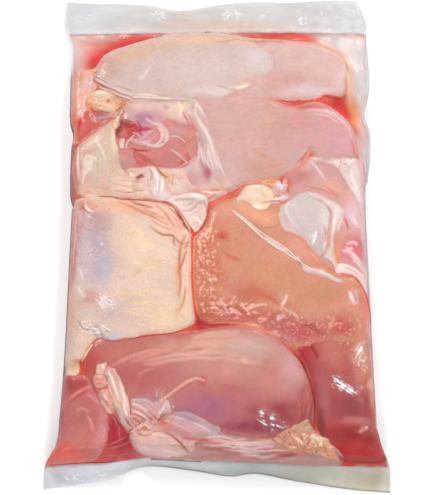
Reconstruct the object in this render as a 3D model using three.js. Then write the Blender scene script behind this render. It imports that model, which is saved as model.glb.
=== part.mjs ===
// A clear heat-sealed bag packed with raw chicken breasts and their juice, lying on its flat underside.
// Millimetres, +Z up. X runs across the bag, Y along it, and the origin is on the floor under its middle.
// The film clings to the meat, so the top of the bag has the form of the pieces inside: rounded breasts
// with grooves between them, rolls and flaps of loose skin, and flat sealed fins at both ends.

import * as THREE from "three";

// The bag, from the size of its lay-flat film
const HALF_WIDTH = 131.5;
const HALF_LENGTH = 213.5;
const FILM_EDGE = 1.2;
const FLOOR_GAP = 0.3;

// Heights of the filled bag
const SIDE_SEAM_HEIGHT = 13;
const GROOVE_HEIGHT = 22;
const SHOULDER_RADIUS = 20;
const SHOULDER_REACH = 10;
const UNDERSIDE_RADIUS = 14;
const UNDERSIDE_HOLLOW = 5;
const FLAT_FROM = 0.5;

// The seams at the two ends, arched where the bag is full
const BOTTOM_SEAM = { corner: 4, arch: 9 };
const TOP_SEAM = { corner: 5, arch: 6 };
const SEAM_BLEND = 46;
const FIN_WAVE = 1.2;
const FIN_WAVE_LENGTH = 15;
const GATHER_HEIGHT = 1.3;
const GATHER_LENGTH = 3.6;
const GATHER_REACH = 16;

// How finely the bag is divided
const ACROSS_TOP = 52;
const ACROSS_UNDER = 18;
const ALONG_BODY = 70;
const ALONG_FIN = 4;
const OUTLINE_POINTS = 72;
const CELL = 2;
const SWEEPS = 160;

// Side edges of the film, as X at each Y: the bag is drawn in where it is full
const LEFT_EDGE = [
  [-213.5, -131.5], [-196, -131], [-188, -127.5], [-178, -122.5], [-160, -120.5], [-110, -119],
  [0, -119], [12, -118], [25, -121], [62, -122], [78, -121], [95, -124.5], [150, -126],
  [172, -127], [190, -131.5], [213.5, -131.5],
];
const RIGHT_EDGE = [
  [-213.5, 130.5], [-196, 130.5], [-186, 127], [-170, 122.5], [-150, 121], [10, 121],
  [38, 124], [60, 127], [82, 127.5], [96, 124], [108, 126.5], [125, 129.5], [170, 130],
  [190, 131.5], [213.5, 131.5],
];

// The four curves across the bag, as Y at each X: the seams and the outer edges of the fins
const BOTTOM_EDGE = [
  [-131.5, -211], [-100, -206.5], [-78, -202], [-54, -194], [-20, -197], [10, -201.5],
  [30, -199.5], [60, -205], [100, -211], [131.5, -213.5],
];
const BOTTOM_SEAM_LINE = [
  [-131.5, -196], [-90, -194.5], [-54, -190.5], [0, -193], [60, -195], [131.5, -196],
];
const TOP_SEAM_LINE = [
  [-131.5, 181], [-60, 179.5], [0, 179], [70, 180.5], [131.5, 181.5],
];
const TOP_EDGE = [
  [-131.5, 213.5], [-95, 211], [-60, 208.5], [-34, 204.5], [0, 209.5], [40, 212.5],
  [116, 213.5], [126, 207], [131.5, 190],
];

// Where the bag holds something: beyond this the two layers of film lie flat on each other
const CONTENTS = [
  [-128, -193], [-60, -190.5], [0, -192], [60, -194], [128, -194], [121.5, -172], [120.5, -120],
  [120.5, 0], [123, 40], [126, 70], [123, 95], [121, 112], [117, 128], [108, 146], [92, 160],
  [76, 176], [30, 177], [-40, 177.5], [-104, 178], [-118, 168], [-124, 140], [-123, 100],
  [-120, 78], [-121, 50], [-117.5, 11], [-118, -60], [-119.5, -160],
];

// The pieces under the film: outline, how far the middle stands over the grooves, and how far in from
// the outline it takes to round over
const PIECES = [
  {
    name: "top breast", lift: 12.5, reach: 11,
    outline: [
      [-100, 130], [-92, 150], [-70, 161], [-30, 169], [20, 170], [65, 166], [98, 154], [109, 138],
      [107, 112], [88, 106], [60, 101], [20, 103], [-20, 101], [-55, 102], [-80, 110], [-98, 120],
    ],
  },
  {
    name: "second breast", lift: 15, reach: 14,
    outline: [
      [-18, 99], [15, 102], [45, 101], [78, 101], [98, 95], [110, 82], [114, 62], [110, 49],
      [88, 51], [76, 54], [60, 40], [40, 30], [12, 21], [7, 40], [1, 62], [-8, 80],
    ],
  },
  {
    name: "shoulder piece", lift: 13, reach: 10,
    outline: [
      [-113, 64], [-98, 78], [-80, 91], [-60, 99], [-25, 101], [-12, 84], [-2, 64], [4, 40],
      [8, 22], [-20, 16], [-50, 14], [-95, 18], [-112, 22], [-117, 44],
    ],
  },
  {
    name: "corner fat and skin", lift: 10, reach: 6,
    outline: [
      [-116, 88], [-112, 112], [-110, 126], [-98, 119], [-78, 107], [-78, 96], [-90, 86], [-104, 78],
    ],
  },
  {
    name: "left breast", lift: 15, reach: 13,
    outline: [
      [-112, 8], [-92, 15], [-60, 11], [-38, 6], [-28, -8], [-23, -30], [-21, -60], [-18, -88],
      [-34, -98], [-62, -103], [-86, -104], [-100, -112], [-116, -118], [-116, -80], [-114, -30],
    ],
  },
  {
    name: "middle breast", lift: 14, reach: 12,
    outline: [
      [-15, -12], [-4, 8], [14, 20], [30, 26], [48, 14], [58, -14], [76, -42], [104, -53],
      [117, -72], [118, -92], [92, -96], [68, -98], [44, -102], [20, -92], [-14, -88], [-17, -50],
    ],
  },
  {
    name: "right edge piece", lift: 12, reach: 7,
    outline: [
      [54, 30], [66, 42], [80, 50], [110, 47], [117, 25], [117, -20], [117, -60], [104, -50],
      [80, -42], [66, -26], [54, -12], [50, 10],
    ],
  },
  {
    name: "bottom breast", lift: 16, reach: 14,
    outline: [
      [-98, -112], [-80, -107], [-50, -103], [-16, -98], [14, -93], [40, -101], [58, -115],
      [69, -136], [71, -156], [60, -170], [36, -177], [4, -172], [-30, -160], [-66, -150],
      [-90, -136],
    ],
  },
  {
    name: "right corner breast", lift: 14, reach: 10,
    outline: [
      [60, -104], [80, -99], [108, -98], [117, -116], [117, -150], [113, -170], [94, -181],
      [78, -176], [72, -158], [71, -136],
    ],
  },
  {
    name: "left corner breast", lift: 11, reach: 8,
    outline: [
      [-88, -150], [-104, -149], [-116, -146], [-117, -168], [-112, -186], [-98, -191], [-86, -184],
      [-81, -168],
    ],
  },
  {
    name: "skin flap", lift: 12, reach: 6,
    outline: [
      [-66, -147], [-50, -149], [-28, -159], [0, -171], [34, -178], [58, -172], [80, -179],
      [88, -190], [50, -193.5], [0, -191], [-44, -190], [-60, -182], [-67, -166],
    ],
  },
];

// Loose skin rolled into ropes and folds: a centre line, a half width and a height over what it lies on
const FOLDS = [
  { name: "skin roll", width: 8, height: 4, line: [[-89, -124], [-80, -136], [-73, -152], [-66, -171]] },
  { name: "crumpled skin", width: 9, height: 3.5, line: [[-52, 38], [-48, 24], [-34, 10], [-20, -8]] },
  { name: "corner fat", width: 9, height: 2.5, line: [[-101, 101], [-86, 98]] },
  { name: "middle fat", width: 10, height: 3, line: [[24, 19], [37, 9]] },
  { name: "tail fat", width: 7, height: 3, line: [[58, -171], [72, -180], [82, -189]] },
  { name: "flap edge", width: 6, height: 2, line: [[-58, -168], [-30, -172], [4, -184], [48, -186]] },
];

// Grooves narrower than the pieces: a centre line, a half width and a depth
const GROOVES = [
  { name: "tenderloin groove", width: 6, depth: 2.5, line: [[44, 101], [60, 95], [72, 92]] },
  { name: "tenderloin end", width: 5, depth: 3, line: [[76, 58], [68, 46], [54, 35]] },
  { name: "middle tendon", width: 4, depth: 1.2, line: [[14, 2], [40, -24], [72, -49], [94, -57]] },
  { name: "skin fold", width: 4, depth: 1.6, line: [[-31, -20], [-28, -48], [-28, -76]] },
];

// A smooth open curve of Y at X, or X at Y, through a few points
function curveThrough(points) {
  const line = new THREE.CatmullRomCurve3(
    points.map(([at, value]) => new THREE.Vector3(at, value, 0)), false, "centripetal",
  ).getPoints(points.length * 8);
  return (at) => {
    let k = 1;
    while (k < line.length - 1 && line[k].x < at) k++;
    const span = line[k].x - line[k - 1].x || 1;
    const share = THREE.MathUtils.clamp((at - line[k - 1].x) / span, 0, 1);
    return THREE.MathUtils.lerp(line[k - 1].y, line[k].y, share);
  };
}

// A smooth closed outline through a few points
function closedOutline(points) {
  return new THREE.CatmullRomCurve3(
    points.map(([x, y]) => new THREE.Vector3(x, y, 0)), true, "centripetal",
  ).getPoints(OUTLINE_POINTS);
}

function distanceToLine(line, x, y) {
  let nearest = Infinity;
  for (let k = 1; k < line.length; k++) {
    const a = line[k - 1];
    const b = line[k];
    const dx = b.x - a.x;
    const dy = b.y - a.y;
    const length = dx * dx + dy * dy || 1;
    const share = THREE.MathUtils.clamp(((x - a.x) * dx + (y - a.y) * dy) / length, 0, 1);
    nearest = Math.min(nearest, Math.hypot(x - a.x - share * dx, y - a.y - share * dy));
  }
  return nearest;
}

// Whether a point is inside a closed outline
function isInside(outline, x, y) {
  let inside = false;
  for (let k = 1; k < outline.length; k++) {
    const a = outline[k - 1];
    const b = outline[k];
    if (a.y > y !== b.y > y && x < a.x + ((y - a.y) / (b.y - a.y)) * (b.x - a.x)) inside = !inside;
  }
  return inside;
}

// A plan grid over the bag, read back smoothly between its cells
const COLUMNS = Math.ceil((2 * HALF_WIDTH + 12) / CELL) + 1;
const ROWS = Math.ceil((2 * HALF_LENGTH + 12) / CELL) + 1;
const cellX = (column) => -HALF_WIDTH - 6 + column * CELL;
const cellY = (row) => -HALF_LENGTH - 6 + row * CELL;

function fillGrid(value) {
  const grid = new Float32Array(COLUMNS * ROWS);
  for (let row = 0; row < ROWS; row++)
    for (let column = 0; column < COLUMNS; column++)
      grid[row * COLUMNS + column] = value(column, row);
  return grid;
}

function readGrid(grid, x, y) {
  const acrossCells = THREE.MathUtils.clamp((x - cellX(0)) / CELL, 0, COLUMNS - 1.001);
  const alongCells = THREE.MathUtils.clamp((y - cellY(0)) / CELL, 0, ROWS - 1.001);
  const column = Math.floor(acrossCells);
  const row = Math.floor(alongCells);
  const at = row * COLUMNS + column;
  const low = THREE.MathUtils.lerp(grid[at], grid[at + 1], acrossCells - column);
  const high = THREE.MathUtils.lerp(grid[at + COLUMNS], grid[at + COLUMNS + 1], acrossCells - column);
  return THREE.MathUtils.lerp(low, high, alongCells - row);
}

// A skin stretched over each outline and blown up: 0 along the outline, rising to 1 well inside it.
// Reach is how far from the outline it has risen to about two thirds.
function blowUp(outlines, reaches) {
  const owner = fillGrid((column, row) =>
    outlines.findIndex((outline) => isInside(outline, cellX(column), cellY(row))));
  const height = fillGrid(() => 0);
  const steps = [-1, 1, -COLUMNS, COLUMNS];
  for (let sweep = 0; sweep < SWEEPS; sweep++)
    for (let at = COLUMNS; at < height.length - COLUMNS; at++) {
      if (owner[at] < 0) continue;
      const lift = (CELL / reaches[owner[at]]) ** 2;
      let sum = lift;
      for (const step of steps) if (owner[at + step] === owner[at]) sum += height[at + step];
      height[at] = sum / (4 + lift);
    }
  return { owner, height };
}

// Film under tension bridges what is narrower than a few cells
function bridge(grid) {
  return fillGrid((column, row) => {
    let sum = 0;
    let weight = 0;
    for (let down = -1; down <= 1; down++)
      for (let over = -1; over <= 1; over++) {
        const across = THREE.MathUtils.clamp(column + over, 0, COLUMNS - 1);
        const along = THREE.MathUtils.clamp(row + down, 0, ROWS - 1);
        const share = (2 - Math.abs(over)) * (2 - Math.abs(down));
        sum += share * grid[along * COLUMNS + across];
        weight += share;
      }
    return sum / weight;
  });
}

const bell = (distance, width) => Math.exp(-((distance / width) ** 2));

const leftEdge = curveThrough(LEFT_EDGE);
const rightEdge = curveThrough(RIGHT_EDGE);
const bottomEdge = curveThrough(BOTTOM_EDGE);
const bottomSeamLine = curveThrough(BOTTOM_SEAM_LINE);
const topSeamLine = curveThrough(TOP_SEAM_LINE);
const topEdge = curveThrough(TOP_EDGE);

const openLine = (points) =>
  new THREE.CatmullRomCurve3(points.map(([x, y]) => new THREE.Vector3(x, y, 0))).getPoints(20);
const folds = FOLDS.map((fold) => ({ ...fold, line: openLine(fold.line) }));
const grooves = GROOVES.map((groove) => ({ ...groove, line: openLine(groove.line) }));

const filled = blowUp([closedOutline(CONTENTS)], [SHOULDER_REACH]).height;
const blown = blowUp(
  PIECES.map((piece) => closedOutline(piece.outline)), PIECES.map((piece) => piece.reach),
);

// How far the pieces, folds and grooves stand over the filled level
const relief = bridge(bridge(bridge(fillGrid((column, row) => {
  const at = row * COLUMNS + column;
  const owner = blown.owner[at];
  let height = owner < 0 ? 0 : PIECES[owner].lift * blown.height[at];
  const x = cellX(column);
  const y = cellY(row);
  for (const fold of folds) height += fold.height * bell(distanceToLine(fold.line, x, y), fold.width);
  for (const groove of grooves)
    height -= groove.depth * bell(distanceToLine(groove.line, x, y), groove.width);
  return height;
}))));

// The same pieces press flat on what the bag lies on, and leave shallow hollows between them
const hollows = bridge(fillGrid((column, row) => {
  const share = blown.height[row * COLUMNS + column] / FLAT_FROM;
  return UNDERSIDE_HOLLOW * Math.max(0, 1 - share) ** 2;
}));

// Distance inside the filled outline, without creases at its corners
function depthInside(x, y) {
  const share = Math.min(readGrid(filled, x, y), 0.999);
  return -SHOULDER_REACH * Math.log(1 - share);
}

// A quarter round: 0 at the outline, 1 from the radius inwards
function quarterRound(depth, radius) {
  const share = THREE.MathUtils.clamp(depth / radius, 0, 1);
  return Math.sqrt(1 - (1 - share) ** 2);
}

// Height of an end seam, arched over the middle of the bag
const seamHeight = (seam, x) => seam.corner + seam.arch * (1 - (x / HALF_WIDTH) ** 2);

// Height of the middle of the film's edge: level along the sides, down to the seams, then drooping fins
function seamSurface(x, y) {
  const lowest = FLOOR_GAP + FILM_EDGE / 2;
  const bottomSeam = bottomSeamLine(x);
  const topSeam = topSeamLine(x);
  const wave = FIN_WAVE * Math.sin(x / FIN_WAVE_LENGTH);
  if (y < bottomSeam) {
    const share = (bottomSeam - y) / Math.max(bottomSeam - bottomEdge(x), 1);
    return THREE.MathUtils.lerp(seamHeight(BOTTOM_SEAM, x), lowest, share ** 0.8);
  }
  if (y > topSeam) {
    const share = THREE.MathUtils.clamp((y - topSeam) / Math.max(topEdge(x) - topSeam, 1), 0, 1);
    const level = THREE.MathUtils.lerp(seamHeight(TOP_SEAM, x), lowest + FIN_WAVE, share ** 1.2);
    return level + wave * share;
  }
  const fromBottom = THREE.MathUtils.smoothstep(y - bottomSeam, 0, SEAM_BLEND);
  const fromTop = THREE.MathUtils.smoothstep(topSeam - y, 0, SEAM_BLEND);
  const bottom = THREE.MathUtils.lerp(seamHeight(BOTTOM_SEAM, x), SIDE_SEAM_HEIGHT, fromBottom);
  const top = THREE.MathUtils.lerp(seamHeight(TOP_SEAM, x), SIDE_SEAM_HEIGHT, fromTop);
  return y < 0 ? bottom : top;
}

// Small gathers where the full bag is drawn flat into its end seams
function gathers(x, y) {
  const fromSeam = Math.min(Math.abs(y - bottomSeamLine(x)), Math.abs(topSeamLine(x) - y));
  const uneven = Math.sin(x / GATHER_LENGTH + 1.6 * Math.sin(x / 23));
  return GATHER_HEIGHT * uneven * Math.exp(-fromSeam / GATHER_REACH);
}

function topHeight(x, y) {
  const seam = seamSurface(x, y) + FILM_EDGE / 2;
  const full = quarterRound(depthInside(x, y), SHOULDER_RADIUS);
  return seam + full * (GROOVE_HEIGHT - seam + gathers(x, y) + readGrid(relief, x, y) * full);
}

function undersideHeight(x, y) {
  const seam = seamSurface(x, y) - FILM_EDGE / 2;
  const full = quarterRound(depthInside(x, y), UNDERSIDE_RADIUS);
  return seam * (1 - full) + full * readGrid(hollows, x, y);
}

// Plan position of a point of the bag: across from 0 to 1, row counted from the bottom fin to the top fin
function planPoint(across, row) {
  const guess = THREE.MathUtils.lerp(-HALF_WIDTH, HALF_WIDTH, across);
  const lines = [bottomEdge(guess), bottomSeamLine(guess), topSeamLine(guess), topEdge(guess)];
  let y;
  if (row <= ALONG_FIN) y = THREE.MathUtils.lerp(lines[0], lines[1], row / ALONG_FIN);
  else if (row >= ALONG_FIN + ALONG_BODY)
    y = THREE.MathUtils.lerp(lines[2], lines[3], (row - ALONG_FIN - ALONG_BODY) / ALONG_FIN);
  else y = THREE.MathUtils.lerp(lines[1], lines[2], (row - ALONG_FIN) / ALONG_BODY);
  const x = THREE.MathUtils.lerp(leftEdge(y), rightEdge(y), across);
  const limit = THREE.MathUtils.clamp;
  return [limit(x, -HALF_WIDTH, HALF_WIDTH), limit(y, -HALF_LENGTH, HALF_LENGTH)];
}

// Across positions, closer together towards the steep sides
function spacing(count) {
  return Array.from({ length: count + 1 }, (_, k) => {
    const even = k / count;
    const bunched = 0.5 - 0.5 * Math.cos(Math.PI * even);
    return THREE.MathUtils.lerp(even, bunched, 0.6);
  });
}

// The closed skin of the bag: one ring of points for each row, joined row to row and capped at the fins.
// Each square is split along its more level diagonal, so that grooves and ridges run clean.
function bagGeometry() {
  const over = spacing(ACROSS_TOP);
  const under = spacing(ACROSS_UNDER).reverse();
  const ring = over.length + under.length;
  const rows = ALONG_BODY + 2 * ALONG_FIN;
  const position = [];
  const index = [];
  for (let row = 0; row <= rows; row++) {
    for (const across of over) {
      const [x, y] = planPoint(across, row);
      position.push(x, y, topHeight(x, y));
    }
    for (const across of under) {
      const [x, y] = planPoint(across, row);
      position.push(x, y, undersideHeight(x, y));
    }
  }
  for (let row = 0; row < rows; row++)
    for (let k = 0; k < ring; k++) {
      const a = row * ring + k;
      const b = row * ring + ((k + 1) % ring);
      const rise = Math.abs(position[3 * a + 2] - position[3 * (b + ring) + 2]);
      const fall = Math.abs(position[3 * b + 2] - position[3 * (a + ring) + 2]);
      if (rise < fall) index.push(a, b, b + ring, a, b + ring, a + ring);
      else index.push(a, b, a + ring, b, b + ring, a + ring);
    }
  const cap = (start, flip) => {
    const corners = Array.from({ length: ring }, (_, k) => {
      const at = 3 * (start + k);
      return new THREE.Vector2(position[at], position[at + 2]);
    });
    for (const [a, b, c] of THREE.ShapeUtils.triangulateShape(corners, []))
      index.push(start + a, start + (flip ? c : b), start + (flip ? b : c));
  };
  cap(0, false);
  cap(rows * ring, true);
  const geometry = new THREE.BufferGeometry();
  geometry.setAttribute("position", new THREE.Float32BufferAttribute(position, 3));
  geometry.setIndex(index);
  geometry.computeVertexNormals();
  return geometry;
}

const film = new THREE.MeshStandardMaterial({ color: 0xe2a79a, roughness: 0.25, metalness: 0 });
const bag = new THREE.Mesh(bagGeometry(), film);
bag.name = "chicken_bag";

const group = new THREE.Group();
group.add(bag);

export default group;
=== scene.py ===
"""A clear sealed bag of raw chicken breasts: film, meat, skin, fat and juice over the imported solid.

Plan positions and heights are in millimetres, and tones are screen colours from 0 to 255. Every piece
inside the bag is built from its own outline. The film is then stretched over all of them, and juice fills
what is left between the film and the pieces.
"""

import math

import bpy
import numpy as np
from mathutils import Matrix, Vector


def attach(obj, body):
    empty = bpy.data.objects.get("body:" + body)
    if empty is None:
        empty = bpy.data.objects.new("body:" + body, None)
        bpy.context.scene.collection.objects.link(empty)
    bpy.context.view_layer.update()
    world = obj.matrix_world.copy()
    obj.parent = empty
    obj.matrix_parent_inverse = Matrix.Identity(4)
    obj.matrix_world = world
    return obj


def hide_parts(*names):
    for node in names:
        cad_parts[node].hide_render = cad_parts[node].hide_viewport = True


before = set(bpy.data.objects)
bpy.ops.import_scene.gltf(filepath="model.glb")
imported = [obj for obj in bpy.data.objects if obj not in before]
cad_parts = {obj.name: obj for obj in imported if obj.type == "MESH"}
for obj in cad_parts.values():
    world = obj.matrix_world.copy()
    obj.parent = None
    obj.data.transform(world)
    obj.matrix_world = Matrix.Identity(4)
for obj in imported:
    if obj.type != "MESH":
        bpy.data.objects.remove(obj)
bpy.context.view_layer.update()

MM = 0.001

# The bag, as in the solid: the heights of its seams, its fins, its crown and its rounded rims
HALF_WIDTH = 131.5
SIDE_SEAM = 13.0
SEAM_BLEND = 46.0
BOTTOM_SEAM = (4.0, 9.0)
TOP_SEAM = (5.0, 6.0)
FIN_LOW = 0.9
FIN_WAVE = 1.2
CREST = 36.4
FLOOR = 1.0
TOP_ROUND = 20.0
UNDER_ROUND = 14.0

# The pieces in it: their margins to its edges, their walls and the least strength of their wrinkles
INSET = 0.8
SIDE_MARGIN = 1.3
LUMP_RAGGED = 0.25
WALL_TOP = 29.0
WALL_LOW = 10.0
DOME_REACH = 10.0
BLEND = 2.0
RIM_SHARE = 0.8
PATCH_OVER_ROOF = 0.5
PATCH_DEPTH = 0.9
MARKS = 0.05
STRAND_SIDES = 16

# The maps before any piece is laid in, and the height under which no piece lies
BARE_TOP = 2.0
BARE_RISE = 3.0
BARE_REACH = 12.0
EMPTY_BELOW = 2.5

# Slopes of the ground between which the ragged outline of a patch gets plain
GENTLE_SLOPE = 0.8
STEEP_SLOPE = 2.0

# The film, and the juice under it
FILM_GAP = 0.35
FILM_SAG = 0.05
FILM_SWEEPS = 420
DITCH = 0.4
FILM_FLOOR = 0.15
JUICE_GAP = 0.5
RIM_GAP = 0.15
RIM_REACH = 6.0
DEEP_REACH = 1.6
THIN_REACH = 0.5
TUCK = 0.4
TOP_MARGIN = 0.9
UNDER_MARGIN = 1.8
END_MARGIN = 0.2

# How the lamps, the film and its glare change a tone
GLARE = 0.03
LIT = 1.16

# Tones that more than one place uses
DEEP_JUICE = (205, 92, 74)
THIN_JUICE = (236, 152, 124)
UNDER_JUICE = (226, 150, 128)
# Default crease tones: the juice's dye, darkened as painted shade in the creases
MEAT_CREASE_DYE_AND_SHADE = (214, 120, 96)
SKIN_CREASE_DYE_AND_SHADE = (226, 140, 104)

LEFT_EDGE = [
    (-213.5, -131.5), (-196, -131), (-188, -127.5), (-178, -122.5), (-160, -120.5), (-110, -119), (0, -119),
    (12, -118), (25, -121), (62, -122), (78, -121), (95, -124.5), (150, -126), (168, -127), (180, -131),
    (192, -135), (217, -134.5),
]
RIGHT_EDGE = [
    (-213.5, 130.5), (-196, 130.5), (-186, 127), (-170, 122.5), (-150, 121), (10, 121), (38, 124),
    (60, 127), (82, 127.5), (96, 124), (108, 126.5), (125, 129.5), (170, 130), (190, 131.5), (217, 131.5),
]
BOTTOM_EDGE = [
    (-131.5, -211), (-100, -206.5), (-78, -202), (-54, -194), (-20, -197), (10, -201.5), (30, -199.5),
    (60, -205), (100, -211), (131.5, -213.5),
]
BOTTOM_SEAM_LINE = [
    (-131.5, -196), (-90, -194.5), (-54, -190.5), (0, -193), (60, -195), (131.5, -196),
]
TOP_SEAM_LINE = [(-131.5, 181), (-60, 179.5), (0, 179), (70, 180.5), (131.5, 181.5)]
TOP_EDGE = [
    (-136, 217), (-95, 214.5), (-60, 212), (-34, 207.5), (0, 212.5), (40, 215.5), (116, 217), (126, 210),
    (131.5, 192),
]


# Plan curves, noise and maps


def curve(points, count=300, closed=True):
    """A smooth curve through plan points, in even steps."""
    p = np.asarray(points, float)
    if closed:
        p = np.vstack([p[-1], p, p[0], p[1]])
    else:
        p = np.vstack([2 * p[0] - p[1], p, 2 * p[-1] - p[-2]])
    t = np.linspace(0, 1, 12, endpoint=False)[:, None]
    runs = [
        0.5 * (2 * b + (c - a) * t + (2 * a - 5 * b + 4 * c - d) * t**2 + (3 * b - a - 3 * c + d) * t**3)
        for a, b, c, d in zip(p, p[1:], p[2:], p[3:])
    ]
    fine = np.vstack(runs + [p[-2:-1]])
    length = np.concatenate([[0], np.cumsum(np.hypot(*np.diff(fine, axis=0).T))])
    at = np.linspace(0, length[-1], count, endpoint=not closed)
    return np.column_stack([np.interp(at, length, fine[:, k]) for k in (0, 1)])


def edge_line(points):
    """A reader of the second value of a curve at its first."""
    line = curve(points, 400, closed=False)
    return lambda at: np.interp(at, line[:, 0], line[:, 1])


left_edge, right_edge = edge_line(LEFT_EDGE), edge_line(RIGHT_EDGE)
bottom_edge, bottom_seam_line = edge_line(BOTTOM_EDGE), edge_line(BOTTOM_SEAM_LINE)
top_seam_line, top_edge = edge_line(TOP_SEAM_LINE), edge_line(TOP_EDGE)

CELL = 1.0
GRID_X = np.arange(-136, 136.5, CELL)
GRID_Y = np.arange(-218, 218.5, CELL)
XX, YY = np.meshgrid(GRID_X, GRID_Y)


def read(grid, x, y):
    """Value of a plan map at plan points."""
    u = np.clip((x - GRID_X[0]) / CELL, 0, len(GRID_X) - 1.001)
    v = np.clip((y - GRID_Y[0]) / CELL, 0, len(GRID_Y) - 1.001)
    i, j = u.astype(int), v.astype(int)
    fu, fv = u - i, v - j
    low = grid[j, i] * (1 - fu) + grid[j, i + 1] * fu
    high = grid[j + 1, i] * (1 - fu) + grid[j + 1, i + 1] * fu
    return low * (1 - fv) + high * fv


def noise(x, y, scale, seed=0):
    """Smooth noise from -1 to 1, with features about scale millimetres across."""
    table = np.random.default_rng(seed).uniform(-1, 1, (64, 64))
    turn = 0.7 + seed
    u = (x * math.cos(turn) - y * math.sin(turn)) / scale + 200.3
    v = (x * math.sin(turn) + y * math.cos(turn)) / scale + 200.7
    i, j = np.floor(u).astype(int), np.floor(v).astype(int)
    fu, fv = u - i, v - j
    fu, fv = fu * fu * (3 - 2 * fu), fv * fv * (3 - 2 * fv)
    i, j, k, m = i % 64, j % 64, (i + 1) % 64, (j + 1) % 64
    low = table[j, i] * (1 - fu) + table[j, k] * fu
    high = table[m, i] * (1 - fu) + table[m, k] * fu
    return low * (1 - fv) + high * fv


def depth(outline, x, y, clipped=True):
    """Distance inside an outline, rounded off over its middle, and 0 outside it."""
    step = math.hypot(*(outline[1] - outline[0]))
    total = np.zeros(x.shape)
    within = np.zeros(x.shape, bool)
    for (ax, ay), (bx, by) in zip(outline, np.roll(outline, -1, axis=0)):
        total += 1 / ((x - ax) ** 2 + (y - ay) ** 2 + 1e-4) ** 2
        if clipped and ay != by:
            within ^= ((ay > y) != (by > y)) & (x < ax + (y - ay) / (by - ay) * (bx - ax))
    rounded = (total * step * 2 / math.pi) ** (-1 / 3)
    return np.where(within, rounded, 0) if clipped else rounded


def line_distance(line, x, y):
    """Distance to an open curve, and how far along it the nearest point is, from 0 to 1."""
    nearest = np.full(x.shape, 1e9)
    along = np.zeros(x.shape)
    for k, (px, py) in enumerate(line):
        gap = (x - px) ** 2 + (y - py) ** 2
        along = np.where(gap < nearest, k / (len(line) - 1), along)
        nearest = np.minimum(nearest, gap)
    return np.sqrt(nearest), along


def shoulder(d, reach):
    """A rounded shoulder: 0 at an outline, near 1 from its reach inwards."""
    return np.sqrt(1 - np.exp(-2 * d / reach))


def bell(distance, width):
    return np.exp(-((distance / width) ** 2))


def oval(x, y, spot):
    """Squared distance from a spot (x, y, half sizes, turn), measured in its half sizes."""
    cx, cy, wide, high, turn = spot
    c, s = math.cos(math.radians(turn)), math.sin(math.radians(turn))
    u = ((x - cx) * c + (y - cy) * s) / wide
    v = (-(x - cx) * s + (y - cy) * c) / high
    return u * u + v * v


def mixed(low, high, share):
    """Two colours, mixed by the share of the second at each point."""
    share = share[..., None]
    return low * (1 - share) + high * share


# The form of the bag round its contents


def seam_height(seam, x):
    corner, arch = seam
    return corner + arch * (1 - (x / HALF_WIDTH) ** 2)


def smooth_share(value, low, high):
    t = np.clip((value - low) / (high - low), 0, 1)
    return t * t * (3 - 2 * t)


def seam_surface(x, y):
    """Height of the film's own edge: level along the sides, down to the seams, then drooping fins."""
    low, high = bottom_seam_line(x), top_seam_line(x)
    bottom = seam_height(BOTTOM_SEAM, x)
    top = seam_height(TOP_SEAM, x)
    body_low = bottom + (SIDE_SEAM - bottom) * smooth_share(y - low, 0, SEAM_BLEND)
    body_high = top + (SIDE_SEAM - top) * smooth_share(high - y, 0, SEAM_BLEND)
    droop = np.clip((low - y) / np.maximum(low - bottom_edge(x), 1), 0, 1) ** 0.8
    rise = np.clip((y - high) / np.maximum(top_edge(x) - high, 1), 0, 1)
    fin_low = bottom + (FIN_LOW - bottom) * droop
    fin_high = top + (FIN_LOW + FIN_WAVE - top) * rise**1.2 + rise * FIN_WAVE * np.sin(x / 15)
    body = np.where(y < 0, body_low, body_high)
    return np.where(y < low, fin_low, np.where(y > high, fin_high, body))


def film_depth(x, y):
    """Distance in from the nearest edge or seam of the bag."""
    sides = np.minimum(x - left_edge(y), right_edge(y) - x)
    ends = np.minimum(y - bottom_seam_line(x), top_seam_line(x) - y)
    return np.maximum(np.minimum(sides, ends), 0)


def quarter_round(d, radius):
    t = np.clip(1 - d / radius, 0, 1)
    return np.sqrt(1 - t * t)


def roof(x, y):
    """The highest that the contents reach under the film."""
    seam = seam_surface(x, y)
    return seam + (CREST - seam) * quarter_round(film_depth(x, y) - INSET, TOP_ROUND)


def bed(x, y):
    """The lowest that the contents reach."""
    seam = seam_surface(x, y)
    return seam - (seam - FLOOR) * quarter_round(film_depth(x, y) - INSET, UNDER_ROUND)


def soft_min(a, b):
    """The lower of two heights, blended where they are close."""
    h = np.clip(0.5 + 0.5 * (b - a) / BLEND, 0, 1)
    return b + (a - b) * h - BLEND * h * (1 - h)


def patches(x, y, spots):
    """Sum of soft spots (x, y, half sizes, turn, strength)."""
    total = np.zeros(x.shape)
    for *spot, strength in spots:
        total += strength * np.exp(-(oval(x, y, spot) ** 1.3))
    return total


# Relief laid on a piece, each as heights over the plan


def lumpy(scale, height, seed):
    return lambda x, y: height * noise(x, y, scale, seed)


def folds(angle, spacing, height, seed, wander=1.0):
    """Loose skin in rough parallel folds, running at an angle in degrees."""
    c, s = math.cos(math.radians(angle)), math.sin(math.radians(angle))

    def relief(x, y):
        across = -x * s + y * c + wander * spacing * noise(x, y, 4 * spacing, seed)
        along = x * c + y * s
        fade = 0.6 + 0.4 * noise(x, y, 6 * spacing, seed + 1)
        wave = np.abs(np.sin(math.pi * across / spacing + 0.8 * noise(along, across, 3 * spacing, seed + 2)))
        return height * fade * (wave - 0.6)

    return relief


def dents(*spots):
    return lambda x, y: -patches(x, y, spots)


# Colour


def rgb(tone):
    """Linear colour of a screen tone."""
    c = np.asarray(tone, float) / 255
    return np.where(c <= 0.04045, c / 12.92, ((c + 0.055) / 1.055) ** 2.4)


def seen(tone):
    """Linear colour of food that looks like a tone under the lamps, the film and its glare."""
    return np.maximum((rgb(tone) - GLARE) / LIT, 0.004)


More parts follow.
